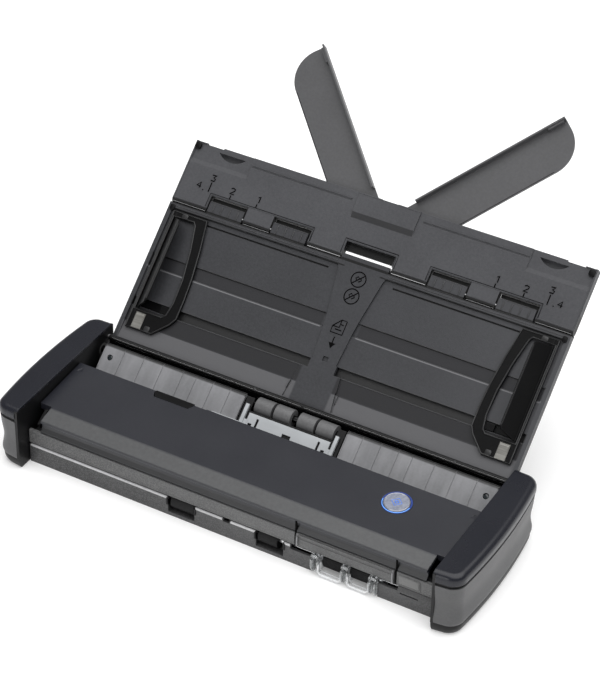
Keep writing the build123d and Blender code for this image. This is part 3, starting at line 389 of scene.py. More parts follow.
# Looks of the moulded slots: arguments of moulded(); the paler edge colour of each is a painted highlight.
MOULDED = {
    "cap_satin": {
        "dark": (0.0036, 0.0042, 0.0085),
        "light": (0.0058, 0.0068, 0.0125),
        "rough": (0.24, 0.3),
        "grain": 3200,
        "depth": 0.015,
        "edge": 0.0006,
        "edge_highlight": (0.05, 0.052, 0.058),
        "spec": 0.4,
    },
    "side_silver": {
        "dark": (0.074, 0.074, 0.076),
        "light": (0.092, 0.092, 0.094),
        "grain": 3500,
        "depth": 0.03,
        "metal": 0.1,
        "spec": 0.3,
    },
    "black_moulding": {
        "dark": (0.003, 0.003, 0.0033),
        "light": (0.006, 0.006, 0.0065),
        "rough": (0.36, 0.44),
        "grain": 2400,
        "edge_highlight": (0.03, 0.03, 0.032),
        "spec": 0.25,
    },
    "guide_grey": {
        "dark": (0.13, 0.131, 0.137),
        "light": (0.175, 0.177, 0.185),
        "rough": (0.3, 0.38),
        "tone": guide_tone,
    },
    "roller_rubber": {
        "dark": (0.003, 0.003, 0.0033),
        "light": (0.007, 0.007, 0.0075),
        "rough": (0.5, 0.62),
        "grain": 1500,
        "depth": 0.3,
        "edge_highlight": (0.03, 0.03, 0.032),
        "spec": 0.2,
    },
    "foot_rubber": {
        "dark": (0.01, 0.01, 0.01),
        "light": (0.018, 0.018, 0.018),
        "rough": (0.65, 0.8),
        "grain": 900,
        "depth": 0.3,
    },
    "bush_plastic": {
        "dark": (0.05, 0.05, 0.05),
        "light": (0.075, 0.075, 0.073),
        "rough": (0.4, 0.5),
        "grain": 1800,
    },
    "sensor_glass": {
        "dark": (0.006, 0.01, 0.012),
        "light": (0.01, 0.016, 0.02),
        "rough": (0.04, 0.08),
        "grain": 200,
        "depth": 0.01,
    },
    "board_green": {
        "dark": (0.008, 0.05, 0.02),
        "light": (0.012, 0.08, 0.03),
        "rough": (0.35, 0.5),
        "grain": 800,
        "depth": 0.1,
    },
    "tray_charcoal": {
        "dark": (0.017, 0.017, 0.019),
        "light": (0.034, 0.034, 0.037),
        "rough": (0.40, 0.48),
        "grain": 1400,
        "depth": 0.22,
        "edge": 0.0005,
        "edge_highlight": (0.13, 0.13, 0.137),
        "tone": pit_shade,
    },
    "guide_black": {
        "dark": (0.0015, 0.0015, 0.0017),
        "light": (0.0035, 0.0035, 0.0038),
        "rough": (0.3, 0.38),
        "grain": 2200,
        "edge": 0.0006,
        "edge_highlight": (0.05, 0.05, 0.053),
        "spec": 0.14,
    },
    "arm_grey": {
        "dark": (0.055, 0.055, 0.058),
        "light": (0.075, 0.075, 0.079),
        "grain": 2000,
        "depth": 0.12,
        "edge": 0.0004,
    },
}
SLOTS = {slot: moulded(slot, **look) for slot, look in MOULDED.items()}
SLOTS["front_texture"] = pebbled("front_texture", (0.045, 0.045, 0.046), (0.13, 0.131, 0.131))
SLOTS["pale_plastic"] = see_through("pale_plastic", (0.50, 0.52, 0.54), (0.3, 0.4), 0.12)
SLOTS["clear_plastic"] = see_through("clear_plastic", (0.93, 0.95, 0.96), (0.05, 0.1), 0.85)
SLOTS["shaft_steel"] = brushed("shaft_steel", (0.35, 0.35, 0.36), (0.52, 0.52, 0.53), (0.26, 0.36))
SLOTS["button_metal"] = brushed(
    "button_metal", (0.24, 0.26, 0.33), (0.38, 0.405, 0.48), (0.28, 0.4), 0.8, (1, 1, 1), 700
)
SLOTS["ring_blue"] = lit("ring_blue", (0.01, 0.03, 0.16), (0.02, 0.10, 0.55), 0.28)

# Looks of single nodes and pieces; their paler edge colours are painted highlights too.
COVER = moulded(
    "cover_satin",
    (0.0085, 0.0092, 0.014),
    (0.0125, 0.0135, 0.0195),
    rough=(0.28, 0.34),
    grain=3200,
    depth=0.02,
    edge=0.0006,
    tone=slope_light_shade,
)
TRAY_FIELD = moulded(
    "tray_field",
    (0.026, 0.0265, 0.0295),
    (0.042, 0.043, 0.0475),
    grain=1400,
    depth=0.22,
    edge_highlight=(0.12, 0.12, 0.126),
    spec=0.28,
    tone=relief_light_shade,
)
FOLD_GREY = moulded(
    "fold_grey",
    (0.044, 0.0445, 0.049),
    (0.066, 0.067, 0.0725),
    grain=1400,
    depth=0.22,
    edge_highlight=(0.16, 0.16, 0.167),
    spec=0.28,
    tone=fold_tone,
)
INK = moulded(
    "ink_black",
    (0.0012, 0.0012, 0.0013),
    (0.002, 0.002, 0.0021),
    rough=(0.7, 0.8),
    grain=1500,
    depth=0.02,
    edge_highlight=(0.003, 0.003, 0.003),
    spec=0.05,
)
TYRE_GREY = moulded("tyre_grey", (0.075, 0.075, 0.077), (0.125, 0.125, 0.128), (0.4, 0.5), 1500, 0.2)
TYRE_BLACK = moulded(
    "tyre_black",
    (0.002, 0.002, 0.0022),
    (0.005, 0.005, 0.0055),
    rough=(0.5, 0.6),
    grain=1500,
    depth=0.2,
    edge_highlight=(0.02, 0.02, 0.02),
    spec=0.15,
)
CRISP = moulded(
    "crisp_clear",
    (0.62, 0.63, 0.64),
    (0.78, 0.79, 0.80),
    rough=(0.12, 0.2),
    grain=400,
    depth=0.02,
    edge_highlight=(0.9, 0.9, 0.9),
)
LABEL = moulded("label_grey", (0.10, 0.10, 0.10), (0.14, 0.14, 0.138), (0.35, 0.45), 900)
# Lighter than the guides: a painted highlight on their raised lips, lugs and ribs.
GUIDE_HIGHLIGHT = moulded("guide_edge", (0.007, 0.007, 0.0075), (0.013, 0.013, 0.014), (0.3, 0.38), 2200)
GLINT = moulded("glint_grey", (0.15, 0.15, 0.155), (0.24, 0.24, 0.25), (0.25, 0.3), 900, 0.02)
# Bright lines are painted highlights where rounded edges catch the light.
BRIGHT_LINE = moulded("bright_line", (0.34, 0.34, 0.345), (0.5, 0.5, 0.51), (0.2, 0.28), 900, 0.02)
CLIP_METAL = brushed("clip_metal", (0.20, 0.195, 0.182), (0.30, 0.295, 0.275), (0.3, 0.42), 0.8)
# Near black steel of the pickup shaft: painted shade for the dark band it lies in below the tray.
DARK_STEEL = brushed("dark_steel", (0.012, 0.012, 0.012), (0.03, 0.03, 0.031), (0.2, 0.28))
LOWER_FRONT = pebbled("lower_front", (0.02, 0.02, 0.021), (0.085, 0.085, 0.087))
GLYPH_BLUE = lit("glyph_blue", (0.03, 0.12, 0.5), (0.06, 0.28, 1.0), 0.42)
HALO_BLUE = lit("halo_blue", (0.15, 0.35, 0.8), (0.15, 0.42, 1.0), 0.75)
BY_NODE = {
    "top_cover": COVER,
    "tray_panel": TRAY_FIELD,
    "extension_panel": FOLD_GREY,
    "extension_shell": FOLD_GREY,
    "pickup_shaft": DARK_STEEL,
    "base_plate": LOWER_FRONT,
    "pickup_tyres": TYRE_GREY,
    "guide_clip_left": CLIP_METAL,
    "guide_clip_right": CLIP_METAL,
}


def paint_frame():
    """Gives every CAD node the material of its slot, or one of its own."""
    for name, node in frame["nodes"].items():
        slot = node.data.materials[0].name.split(".")[0]
        node.data.materials[0] = BY_NODE.get(name, SLOTS[slot])


# ------------------------------------------------------------------- places
# Each turns three values in mm into a point of the part's frame in metres.


def world(x, y, z):
    return Vector((x, y, z)) * MM


def sideways(y, z, x):
    """For outlines seen from the side, with their thickness along x."""
    return world(x, y, z)


def forward(x, z, out):
    """For outlines seen from the front, with their thickness towards the front."""
    return world(x, -out, z)


def backward(x, z, y):
    """For outlines seen from the front, with their thickness towards the back."""
    return world(x, y, z)


def tray(x, s, n):
    """Tray axes: x across, s up the tray from its hinge, n out of its paper side."""
    y = TRAY_Y + s * math.cos(TILT) - n * math.sin(TILT)
    z = TRAY_Z + s * math.sin(TILT) + n * math.cos(TILT)
    return world(x, y, z)


def tray_half(side):
    """Tray axes with x counted outwards from the middle on one side."""
    return lambda x, s, n: tray(side * x, s, n)


def on_wall(side):
    """Axes of a standing side guide: a from its root, s up the tray, n off its paper side."""

    def put(a, s, n):
        x = WALL_X - a * math.cos(WALL_LEAN) - n * math.sin(WALL_LEAN)
        return tray(side * x, s, WALL_N + a * math.sin(WALL_LEAN) - n * math.cos(WALL_LEAN))

    return put


def on_arm(side):
    """Axes of an open arm: u along it from its pivot, v across it, n out of the tray's face."""

    def put(u, v, n):
        x = ARM_X + u * math.cos(ARM_OPEN) - v * math.sin(ARM_OPEN)
        s = ARM_S + u * math.sin(ARM_OPEN) + v * math.cos(ARM_OPEN)
        return tray(side * x, s, n)

    return put


def on_button(u, v, n):
    """Axes of the button ring: u to the right, v to the back, n up, tilted with the cover."""
    y = BUTTON_Y + v * math.cos(COVER_SLOPE) - n * math.sin(COVER_SLOPE)
    z = BUTTON_Z + v * math.sin(COVER_SLOPE) + n * math.cos(COVER_SLOPE)
    return world(BUTTON_X + u, y, z)


def on_guide(x, d, n):
    """Axes of the feed guides: x across, d down the slope from its upper edge, n off it."""
    y = GUIDE_Y - d * math.cos(GUIDE_SLOPE) - n * math.sin(GUIDE_SLOPE)
    z = GUIDE_Z - d * math.sin(GUIDE_SLOPE) + n * math.cos(GUIDE_SLOPE)
    return world(x, y, z)


# ----------------------------------------------------------------- outlines


def rect(u0, u1, v0, v1, cut=0.0):
    """A rectangle's outline, with its corners cut off where cut is given."""
    if not cut:
        return [(u0, v0), (u1, v0), (u1, v1), (u0, v1)]
    return [
        (u0 + cut, v0),
        (u1 - cut, v0),
        (u1, v0 + cut),
        (u1, v1 - cut),
        (u1 - cut, v1),
        (u0 + cut, v1),
        (u0, v1 - cut),
        (u0, v0 + cut),
    ]


def strip(u, half, v0, v1, cut=0.0):
    """A rectangle's outline round u, half wide on both sides, from v0 to v1."""
    return rect(u - half, u + half, v0, v1, cut)


def circle(cx, cy, r, count=28, start=0.0, end=360.0):
    """A round outline, or an arc of it, by degrees from start to end in so many steps."""
    steps = count if end - start >= 360 else count + 1
    turns = [math.radians(start + (end - start) * k / count) for k in range(steps)]
    return [(cx + r * math.cos(turn), cy + r * math.sin(turn)) for turn in turns]


def inset(outline, amount):
    """The outline moved in towards its middle by about amount."""
    cx = sum(u for u, v in outline) / len(outline)
    cy = sum(v for u, v in outline) / len(outline)
    moved = []
    for u, v in outline:
        d = math.hypot(u - cx, v - cy)
        moved.append((u + (cx - u) / d * amount, v + (cy - v) / d * amount))
    return moved


def at_height(pairs, n):
    """Points of a path that runs at height n."""
    return [(u, v, n) for u, v in pairs]


def across(x0, x1, s, n):
    """Both ends of a straight line across the tray, or across the body with s, n as y, z."""
    return [(x0, s, n), (x1, s, n)]


# ------------------------------------------------------------------- pieces


def tube(bm, points, radius, closed=False, sides=BEAD_SIDES):
    """A round bead along points."""
    count = len(points)
    rings = []
    for i, p in enumerate(points):
        before = points[i - 1] if closed or i else p
        after = points[(i + 1) % count] if closed or i < count - 1 else p
        along = (after - before).normalized()
        beside = along.cross(Vector((0, 0, 1)))
        if beside.length < 0.2:
            beside = along.cross(Vector((0, 1, 0)))
        beside.normalize()
        up = along.cross(beside)
        ring = []
        for k in range(sides):
            turn = 2 * math.pi * k / sides
            ring.append(bm.verts.new(p + (beside * math.cos(turn) + up * math.sin(turn)) * radius))
        rings.append(ring)
    for i in range(count if closed else count - 1):
        a, b = rings[i], rings[(i + 1) % count]
        for k in range(sides):
            bm.faces.new((a[k], a[(k + 1) % sides], b[(k + 1) % sides], b[k]))
    if not closed:
        bm.faces.new(rings[0])
        bm.faces.new(rings[-1])


def prism(bm, outline, place, low, high, bevel=0.0):
    """An outline of (u, v) pairs between two heights, put in place by place(u, v, height)."""
    made = bmesh.new()
    bottom = [made.verts.new(Vector((u, v, low))) for u, v in outline]
    top = [made.verts.new(Vector((u, v, high))) for u, v in outline]
    made.faces.new(bottom[::-1])
    lid = made.faces.new(top)
    for k in range(len(outline)):
        n = (k + 1) % len(outline)
        made.faces.new((bottom[k], bottom[n], top[n], top[k]))
    if bevel:
        rim = list(lid.edges)
        bmesh.ops.bevel(made, geom=rim, offset=bevel, segments=2, affect="EDGES", profile=0.6)
    joined = {}
    for v in made.verts:
        joined[v] = bm.verts.new(place(*v.co))
    for f in made.faces:
        bm.faces.new([joined[v] for v in f.verts])
    made.free()


def finish(name, bm, body, material):
    """Turns the mesh into a piece that rides on a body and stands in a material slot."""
    mesh = bpy.data.meshes.new(name)
    bmesh.ops.recalc_face_normals(bm, faces=bm.faces)
    bm.to_mesh(mesh)
    bm.free()
    mesh.materials.append(material)
    for polygon in mesh.polygons:
        polygon.use_smooth = True
    mesh.set_sharp_from_angle(angle=SHARP_ANGLE)
    piece = bpy.data.objects.new(name, mesh)
    bpy.context.scene.collection.objects.link(piece)
    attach(piece, body)
    return piece


def build(name, body, material, place, beads=(), blocks=(), sides=BEAD_SIDES):
    """A piece of round beads and small blocks, both given in the axes of place.

    A bead is (radius, points) and closes where its end meets its start; a block is (outline, low,
    high, bevel).
    """
    bm = bmesh.new()
    for radius, points in beads:
        closed = points[0] == points[-1] and len(points) > 2
        path = [place(*point) for point in (points[:-1] if closed else points)]
        tube(bm, path, radius * MM, closed, sides)
    for outline, low, high, bevel in blocks:
        prism(bm, outline, place, low, high, bevel)
    return finish(name, bm, body, material)


def lines(name, body, place, paths, radius, height=0.0):
    """Thin black lines, each path a list of (u, v): print, and painted shade round the notches."""
    beads = [(radius, at_height(path, height)) for path in paths]
    return build(name, body, INK, place, beads, sides=LINE_SIDES)


def closed_path(pairs):
    return list(pairs) + [pairs[0]]


# ------------------------------------------------------------ tray and print

RIB_MARK, RIB_HEIGHT, SIZE_MARK, NOTCH_LINE = 0.33, 0.02, 0.32, 0.16
SHEET_ICON = (
    [(-3.6, 44.0), (3.6, 44.0), (3.6, 52.0), (0.4, 52.0), (-3.6, 47.6), (-3.6, 44.0)],
    [(0.4, 52.0), (0.4, 47.6), (-3.6, 47.6)],
    [(-1.6, 46.2), (2.2, 46.2)],
    [(0.8, 49.4), (2.4, 49.4)],
)
ARROW_STEM = [(0, 42.0), (0, 36.6)]
ARROW_HEAD = [(0, 35.2), (2.0, 38.4), (-2.0, 38.4)]

# Strokes of the plain numbers in a cell of about 0.8 by 1.
DIGITS = {
    "1": [[(0.2, 0.8), (0.5, 1), (0.5, 0)]],
    "2": [[(0, 0.85), (0.3, 1), (0.7, 0.85), (0.7, 0.6), (0, 0), (0.75, 0)]],
    "3": [[(0, 0.95), (0.7, 1), (0.3, 0.58), (0.7, 0.4), (0.6, 0.05), (0, 0.05)]],
    "4": [[(0.6, 0), (0.6, 1), (0, 0.3), (0.8, 0.3)]],
}
# Paper marks: half width, upper end of the tick, number, its x on both sides, its s and its size.
MARK_FOOT = 95.9
PAPER_MARKS = (
    (74.0, 97.8, "1", (72.8, -75.2), 98.8, 3.6),
    (91.0, 97.8, "2", (89.8, -92.2), 98.8, 3.6),
    (105.0, 101.4, "3", (103.8, -106.2), 102.4, 3.6),
    (108.6, 96.4, "4", (110.6, -113.2), 96.6, 3.4),
)


def number(text, x, s, size):
    """Digits as strokes, standing at x, s on the tray."""
    return [[(x + u * size, s + v * size) for u, v in path] for path in DIGITS[text]]


def tray_print():
    """Marks on the rib: two ring pictograms, a sheet and an arrow."""
    paths = []
    for s in (76.0, 66.0):
        paths.append(closed_path(circle(0, s, 4.3)))
        paths.append([(-2.9, s - 2.9), (2.9, s + 2.9)])
        paths.append(closed_path([(-1.8, s + 0.4), (-0.6, s + 1.6), (0.4, s + 0.6), (-0.8, s - 0.6)]))
        paths.append([(0.4, s - 1.4), (1.8, s - 0.2), (1.2, s + 0.8)])
    lines("rib_marks", "feed_tray", tray, [*paths, *SHEET_ICON, ARROW_STEM], RIB_MARK, RIB_HEIGHT)
    head = [(ARROW_HEAD, 0.0, 0.14, 0.0)]
    build("rib_arrow", "feed_tray", INK, tray, blocks=head)


def size_marks():
    """Paper width marks and plain numbers at both ends of the extension."""
    paths = []
    for x, top, text, spots, s, size in PAPER_MARKS:
        paths.append([(x, MARK_FOOT), (x, top)])
        paths.append([(-x, MARK_FOOT), (-x, top)])
        for spot in spots:
            paths += number(text, spot, s, size)
    lines("size_marks", "extension", tray, paths, SIZE_MARK)


# Beads on one half of the tray: radius, then x from, x to, s and n.
TRAY_EDGES = (
    (0.32, (9.4, 121.0, 21.6, -1.35)),
    (0.22, (9.4, 121.0, 27.15, -1.37)),
    (0.34, (9.8, 121.0, 45.45, -1.5)),
    (0.16, (12.0, 121.0, 53.45, -1.35)),
    (0.3, (15.6, 122.6, 82.6, 0.02)),
)
BAR_GLINT = ((0.17, (1.0, 122.0, -0.55, 3.62)),)
HINGE_GLINT = (
    (0.24, (15.8, 36.6, 85.2, -0.98)),
    (0.12, (102.4, 123.6, 85.2, -0.98)),
    (0.12, (61.2, 77.8, 85.0, -1.3)),
)
# Blocks on one half of the tray: outline, low, high and bevel.
BAR_TICKS = [(strip(x, 0.5, -1.0, 0.5, 0.15), 3.2, 3.8, 0.12) for x in (30.0, 61.0, 92.0)]
CORNER_STOP = [(strip(121.9, 1.9, 117.6, 121.4, 0.8), -0.4, 0.9, 0.35)]
TRAY_STOP = [(strip(121.6, 1.4, 79.4, 82.9, 0.5), -0.1, 0.8, 0.3)]
HINGE_X = (60.45, 78.55)
HINGE_POSTS = [(strip(x, 0.42, 86.3, 92.8, 0.2), -1.0, 0.0, 0.15) for x in HINGE_X]
HINGE_PINS = [(0.4, [(x, 87.1, -0.2), (x, 87.1, 0.1)]) for x in HINGE_X]
# Raised rim of the extension: round its notches, at its ends and along its fold.
RIM, RIM_LOW = 0.3, -0.09
NOTCH_RIM = [(36.4, 87.0), (36.4, 95.1), (102.6, 95.1), (102.6, 87.0)]
END_RIM = [(103.4, 87.2), (123.7, 87.2), (123.7, 121.9), (117.6, 121.9)]
INNER_RIM = [(16.6, 87.2), (35.6, 87.2)]
MIDDLE_RIM = [(-15.2, 88.3), (-15.2, 95.1), (15.2, 95.1), (15.2, 88.3)]
UPPER_LINE = (0.22, across(22.0, 86.0, 118.0, -0.02))
MIDDLE_BEADS = [(0.25, across(*ends, 122.0, 0.8)) for ends in ((-19.0, -5.4), (5.4, 19.0))]
# Hinge tongues of the tray, x from and to, and lines in the notches they stand in.
TONGUES = ((39.0, 59.2), (79.8, 100.2))
TONGUE_RIBS = 4
NOTCH_PATHS = (
    [(35.9, 87.6), (35.9, 95.6), (103.1, 95.6), (103.1, 87.6)],
    [(60.9, 94.5), (60.9, 87.8)],
    [(78.1, 94.5), (78.1, 87.8)],
)
MIDDLE_PATH = [(-16.4, 87.6), (-16.4, 95.9), (16.4, 95.9), (16.4, 87.6)]


def straights(rows):
    """Straight beads from rows of a radius and the values of across()."""
    return [(radius, across(*row)) for radius, row in rows]


def tray_trim():
    """Fine raised edges and small fittings of the tray and the extension, on both halves."""
    charcoal, black, steel = SLOTS["tray_charcoal"], SLOTS["guide_black"], SLOTS["shaft_steel"]
    for side, word in SIDES:
        put = tray_half(side)
        edges, bar, hinge = straights(TRAY_EDGES), straights(BAR_GLINT), straights(HINGE_GLINT)
        rims = [(RIM, at_height(path, RIM_LOW)) for path in (NOTCH_RIM, END_RIM, INNER_RIM)]
        rims.append(UPPER_LINE)
        build("tray_edges_" + word, "feed_tray", charcoal, put, edges)
        build("bar_ticks_" + word, "feed_tray", charcoal, put, (), BAR_TICKS)
        build("extension_rim_" + word, "extension", FOLD_GREY, put, rims)
        build("hinge_posts_" + word, "extension", black, put, (), HINGE_POSTS)
        build("hinge_pins_shown_" + word, "extension", steel, put, HINGE_PINS)
        tongue_ribs(word, put)
        build("corner_stops_" + word, "extension", black, put, (), CORNER_STOP)
        build("tray_stops_" + word, "feed_tray", black, put, (), TRAY_STOP)
        build("bar_glint_" + word, "feed_tray", BRIGHT_LINE, put, bar)
        build("hinge_glint_" + word, "extension", BRIGHT_LINE, put, hinge)
        # Black lines round the notches: painted shade along their edges.
        lines("notch_lines_" + word, "extension", put, NOTCH_PATHS, NOTCH_LINE)
    rims = [(RIM, at_height(MIDDLE_RIM, RIM_LOW)), *MIDDLE_BEADS]
    build("extension_rim_middle", "extension", FOLD_GREY, tray, rims)
    # Black lines round the middle notch: painted shade along its edges.
    lines("notch_lines_middle", "extension", tray, [MIDDLE_PATH], NOTCH_LINE)


def tongue_ribs(word, put):
    """Cross bead and four short ribs on each hinge tongue of the tray."""
    beads, blocks = [], []
    for x0, x1 in TONGUES:
        beads.append((0.26, across(x0, x1, 91.2, -0.2)))
        for step in range(TONGUE_RIBS):
            x = x0 + (x1 - x0) * (step + 0.5) / TONGUE_RIBS
            blocks.append((strip(x, 0.4, 85.2, 90.4, 0.2), -0.16, 0.12, 0.1))
    charcoal = SLOTS["tray_charcoal"]
    build("tongue_ribs_" + word, "feed_tray", charcoal, put, beads, blocks)


# ------------------------------------------------------- side guides and arms

RING_OUT = [
    (98.0, 80.0),
    (94.7, 63.0),
    (92.2, 46.0),
    (91.4, 32.0),
    (91.6, 21.0),
    (94.2, 16.8),
    (102.6, 8.6),
    (119.6, 8.6),
    (119.6, 80.0),
]
RING_IN = [
    (103.6, 74.2),
    (100.4, 60.0),
    (98.2, 44.0),
    (97.4, 30.0),
    (98.6, 22.4),
    (100.6, 20.4),
    (118.1, 20.4),
    (118.1, 76.0),
    (105.0, 76.0),
]
LIP = 0.5
LUGS = (
    (rect(109.6, 113.4, 76.6, 79.4, 0.6), 0.4, 1.0, 0.25),
    (rect(104.2, 107.8, 9.4, 12.4, 0.6), 0.4, 0.95, 0.25),
)
# Spring leaf: its width across the tray, its thickness, and its line as s and n.
LEAF_FROM, LEAF_TO, LEAF_THICK = 110.3, 115.7, 0.3
LEAF = ((9.6, 0.62), (12.0, 0.66), (14.6, 0.8), (17.0, 1.0), (18.3, 0.96), (18.5, 0.66))
WELD = 1e-6  # metres within which corners of the leaf are joined
WALL_BEADS = (
    (0.2, [(4.2, 26.0, 0.55), (4.2, 71.0, 0.55)]),
    (0.2, [(8.0, 26.0, 0.55), (8.0, 71.0, 0.55)]),
    (0.42, [(11.6, 26.0, 0.0), (11.6, 72.0, 0.0)]),
)


def spring_leaf(word, put):
    """Bent strip of spring steel at the foot of a side guide."""
    bm = bmesh.new()
    for (s0, n0), (s1, n1) in zip(LEAF, LEAF[1:]):
        corners = ((LEAF_FROM, s0, n0), (LEAF_TO, s0, n0), (LEAF_TO, s1, n1), (LEAF_FROM, s1, n1))
        face = [put(*corner) for corner in corners]
        back = [p - Vector(OFF_TRAY) * LEAF_THICK * MM for p in face]
        upper = [bm.verts.new(p) for p in face]
        lower = [bm.verts.new(p) for p in back]
        bm.faces.new(upper)
        bm.faces.new(lower[::-1])
        for k in range(4):
            n = (k + 1) % 4
            bm.faces.new((upper[k], lower[k], lower[n], upper[n]))
    bmesh.ops.remove_doubles(bm, verts=bm.verts, dist=WELD)
    finish("guide_spring_" + word, bm, "guide_" + word, CLIP_METAL)


def side_guides():
    """Raised lips, lugs, spring and ribs of the two side guides; lips, lugs and ribs lighter as painted
    highlight.
    """
    for side, word in SIDES:
        put = tray_half(side)
        rings = (inset(RING_OUT, 0.6), inset(RING_IN, -0.7))
        lips = [(LIP, at_height(closed_path(ring), LIP)) for ring in rings]
        build("guide_lips_" + word, "guide_" + word, GUIDE_HIGHLIGHT, put, lips, LUGS)
        spring_leaf(word, put)
        wall = "wall_" + word
        build("wall_ribs_" + word, wall, GUIDE_HIGHLIGHT, on_wall(side), WALL_BEADS)


ARM_BEADS = (
    (0.35, [(12.0, 11.6, -2.7), (101.0, 11.6, -2.7)]),
    (0.16, [(12.0, -11.9, -2.75), (84.0, -11.9, -2.75)]),
)
LATCHES = [(rect(u, u + 3.4, 10.3, 11.9, 0.4), -2.9, -2.0, 0.2) for u in (92.5, 98.0)]


def arm_trim():
    """Folded edge and latch bumps along each swing-out arm."""
    for side, word in SIDES:
        arm, black = "arm_" + word, SLOTS["guide_black"]
        build("arm_edge_" + word, arm, black, on_arm(side), ARM_BEADS, LATCHES)


# ------------------------------------------------------------ button and front

BUTTON_RIM, RIM_STEPS = 6.75, 48
HALO, HALO_STEPS, HALO_START, HALO_END = 7.72, 40, 185, 355
DIAMONDS = ((3.1, 0.26), (1.2, 0.34))  # half width and line radius
DIAMOND_SQUASH = 0.95  # its height as a share of its width
RIM_LINE, RIM_UP = 0.24, 0.52
HALO_LINE, HALO_UP = 0.22, 0.12
DIAMOND_UP = 0.5


def button_trim():
    """Polished rim and lit diamond on the start button, and the lit arc round it."""
    rim = [(RIM_LINE, at_height(closed_path(circle(0, 0, BUTTON_RIM, RIM_STEPS)), RIM_UP))]
    build("button_rim", "start_button", SLOTS["shaft_steel"], on_button, rim)
    arc = circle(0, 0, HALO, HALO_STEPS, HALO_START, HALO_END)
    halo = [(HALO_LINE, at_height(arc, HALO_UP))]
    build("button_halo", "upper_unit", HALO_BLUE, on_button, halo)
    diamonds = []
    for half, radius in DIAMONDS:
        tall = half * DIAMOND_SQUASH
        corners = closed_path([(half, 0), (0, tall), (-half, 0), (0, -tall)])
        diamonds.append((radius, at_height(corners, DIAMOND_UP)))
    build("button_diamond", "start_button", GLYPH_BLUE, on_button, diamonds)


# Clear card guide: x of its ears, their outline in y and z, and the run of their front bead.
EARS = ((51.7, 56.0), (69.4, 73.4), (85.4, 89.6))
EAR_OUTLINE = [
    (-39.9, 3.6),
    (-38.6, 1.0),
    (-30.0, 1.0),
    (-30.0, 9.0),
    (-33.0, 12.4),
    (-37.4, 12.9),
    (-39.6, 11.0),
]
EAR_WALL = 1.2
EAR_FRONT = [(-38.8, 1.6), (-40.2, 4.0), (-40.4, 9.6), (-38.8, 12.6)]
LOOPS = ((56.0, 69.6), (73.2, 85.6))
# Card rollers: name, x from, x to; and the circle of beads that makes their ribbed tyres.
CARD_TYRES = (("card_tyre_inner", 57.6, 69.0), ("card_tyre_outer", 73.6, 84.6))
TYRE_Y, TYRE_Z, TYRE_RADIUS, TYRE_BEADS = -32.4, 7.8, 5.02, 30


def card_side():
    """Clear guide with its ears and loops, and the two black card rollers behind it."""
    bm = bmesh.new()
    for x0, x1 in EARS:
        for a, b in ((x0, x0 + EAR_WALL), (x1 - EAR_WALL, x1)):
            prism(bm, EAR_OUTLINE, sideways, a, b, 0.25)
        for x in (x0 + 0.4, x1 - 0.4):
            tube(bm, [world(x, y, z) for y, z in EAR_FRONT], 0.55 * MM)
        tube(bm, [world(x, -39.6, 11.9) for x in (x0, x1)], 0.7 * MM)
    finish("card_guide_clear", bm, "chassis", SLOTS["clear_plastic"])
    beads = []
    for x0, x1 in LOOPS:
        loop = [(x0, 7.5), (x0 + 0.3, 3.2), (x0 + 1.8, 1.5), (x1 - 1.8, 1.5), (x1 - 0.3, 3.2), (x1, 7.5)]
        beads.append((0.72, [(x, -40.1, z) for x, z in loop]))
        beads.append((0.6, [(x, -37.2, z - 0.2) for x, z in loop]))
        beads.append((0.5, across(x0 + 0.8, x1 - 0.8, -40.2, 2.0)))
    loops = build("card_guide_loops", "chassis", CRISP, world, beads)
    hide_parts("card_guide")
    for name, x0, x1 in CARD_TYRES:
        round_tyre = circle(TYRE_Y, TYRE_Z, TYRE_RADIUS, TYRE_BEADS)
        beads = [(0.15, across(x0, x1, y, z)) for y, z in round_tyre]
        build(name, "eject_roller", TYRE_BLACK, world, beads)


FRONT_LABEL = [(rect(102.2, 113.4, 15.2, 20.0, 0.5), 38.3, 38.6, 0.1)]
FLAP_GAPS = [(strip(x, 0.55, 14.6, 29.0, 0.2), 36.9, 37.4, 0.1) for x in (41.35, 99.95)]
FLAP_EARS = (42.7, 98.2)
EAR_LINE = [(-38.8, 14.2), (-39.0, 17.0), (-38.8, 20.0), (-38.2, 21.6)]
FRONT_RUNS = ((-123.8, 41.0), (100.6, 123.8))
LIP_BAR_RUNS = ((-123.6, -37.0), (-19.2, -2.8), (2.4, 17.1), (34.9, 38.2))
FLAP_BEAD = (0.35, across(43.6, 97.4, -38.5, 21.0))
LIP_LINE = [(0.35, across(-116.6, 116.6, -36.55, 29.2))]
CHEEK = rect(-38.6, -36.2, 6.4, 11.7, 0.8)
WINDOW_CHEEKS = [(CHEEK, x - 0.45, x + 0.45, 0.12) for x in (-36.6, -19.4, 17.3, 34.7)]


def front_trim():
    """Label, flap gaps and ears, seam beads and the lower bar on the front of the body."""
    texture, black = SLOTS["front_texture"], SLOTS["black_moulding"]
    ears = [(0.42, [(x, y, z) for y, z in EAR_LINE]) for x in FLAP_EARS]
    beads = []
    for x0, x1 in FRONT_RUNS:
        beads.append((0.26, across(x0, x1, -37.9, 13.9)))
        beads.append((0.4, across(x0, x1, -37.9, 21.2)))
    beads.append(FLAP_BEAD)
    bar = [(0.88, across(x0, x1, -37.3, 11.1)) for x0, x1 in LIP_BAR_RUNS]
    build("front_label", "upper_unit", LABEL, forward, (), FRONT_LABEL)
    build("flap_gaps", "upper_unit", INK, forward, (), FLAP_GAPS)
    build("flap_ears", "upper_unit", GLINT, world, ears)
    build("front_beads", "upper_unit", texture, world, beads)
    build("lip_line", "upper_unit", COVER, world, LIP_LINE)
    # The lower bar is bright grey: a painted highlight on the rounded edge of the exit guide.
    build("lower_lip_bar", "chassis", BRIGHT_LINE, world, bar, sides=BAR_SIDES)
    build("window_cheeks", "chassis", black, sideways, (), WINDOW_CHEEKS)


# ------------------------------------------------------------- feed guides

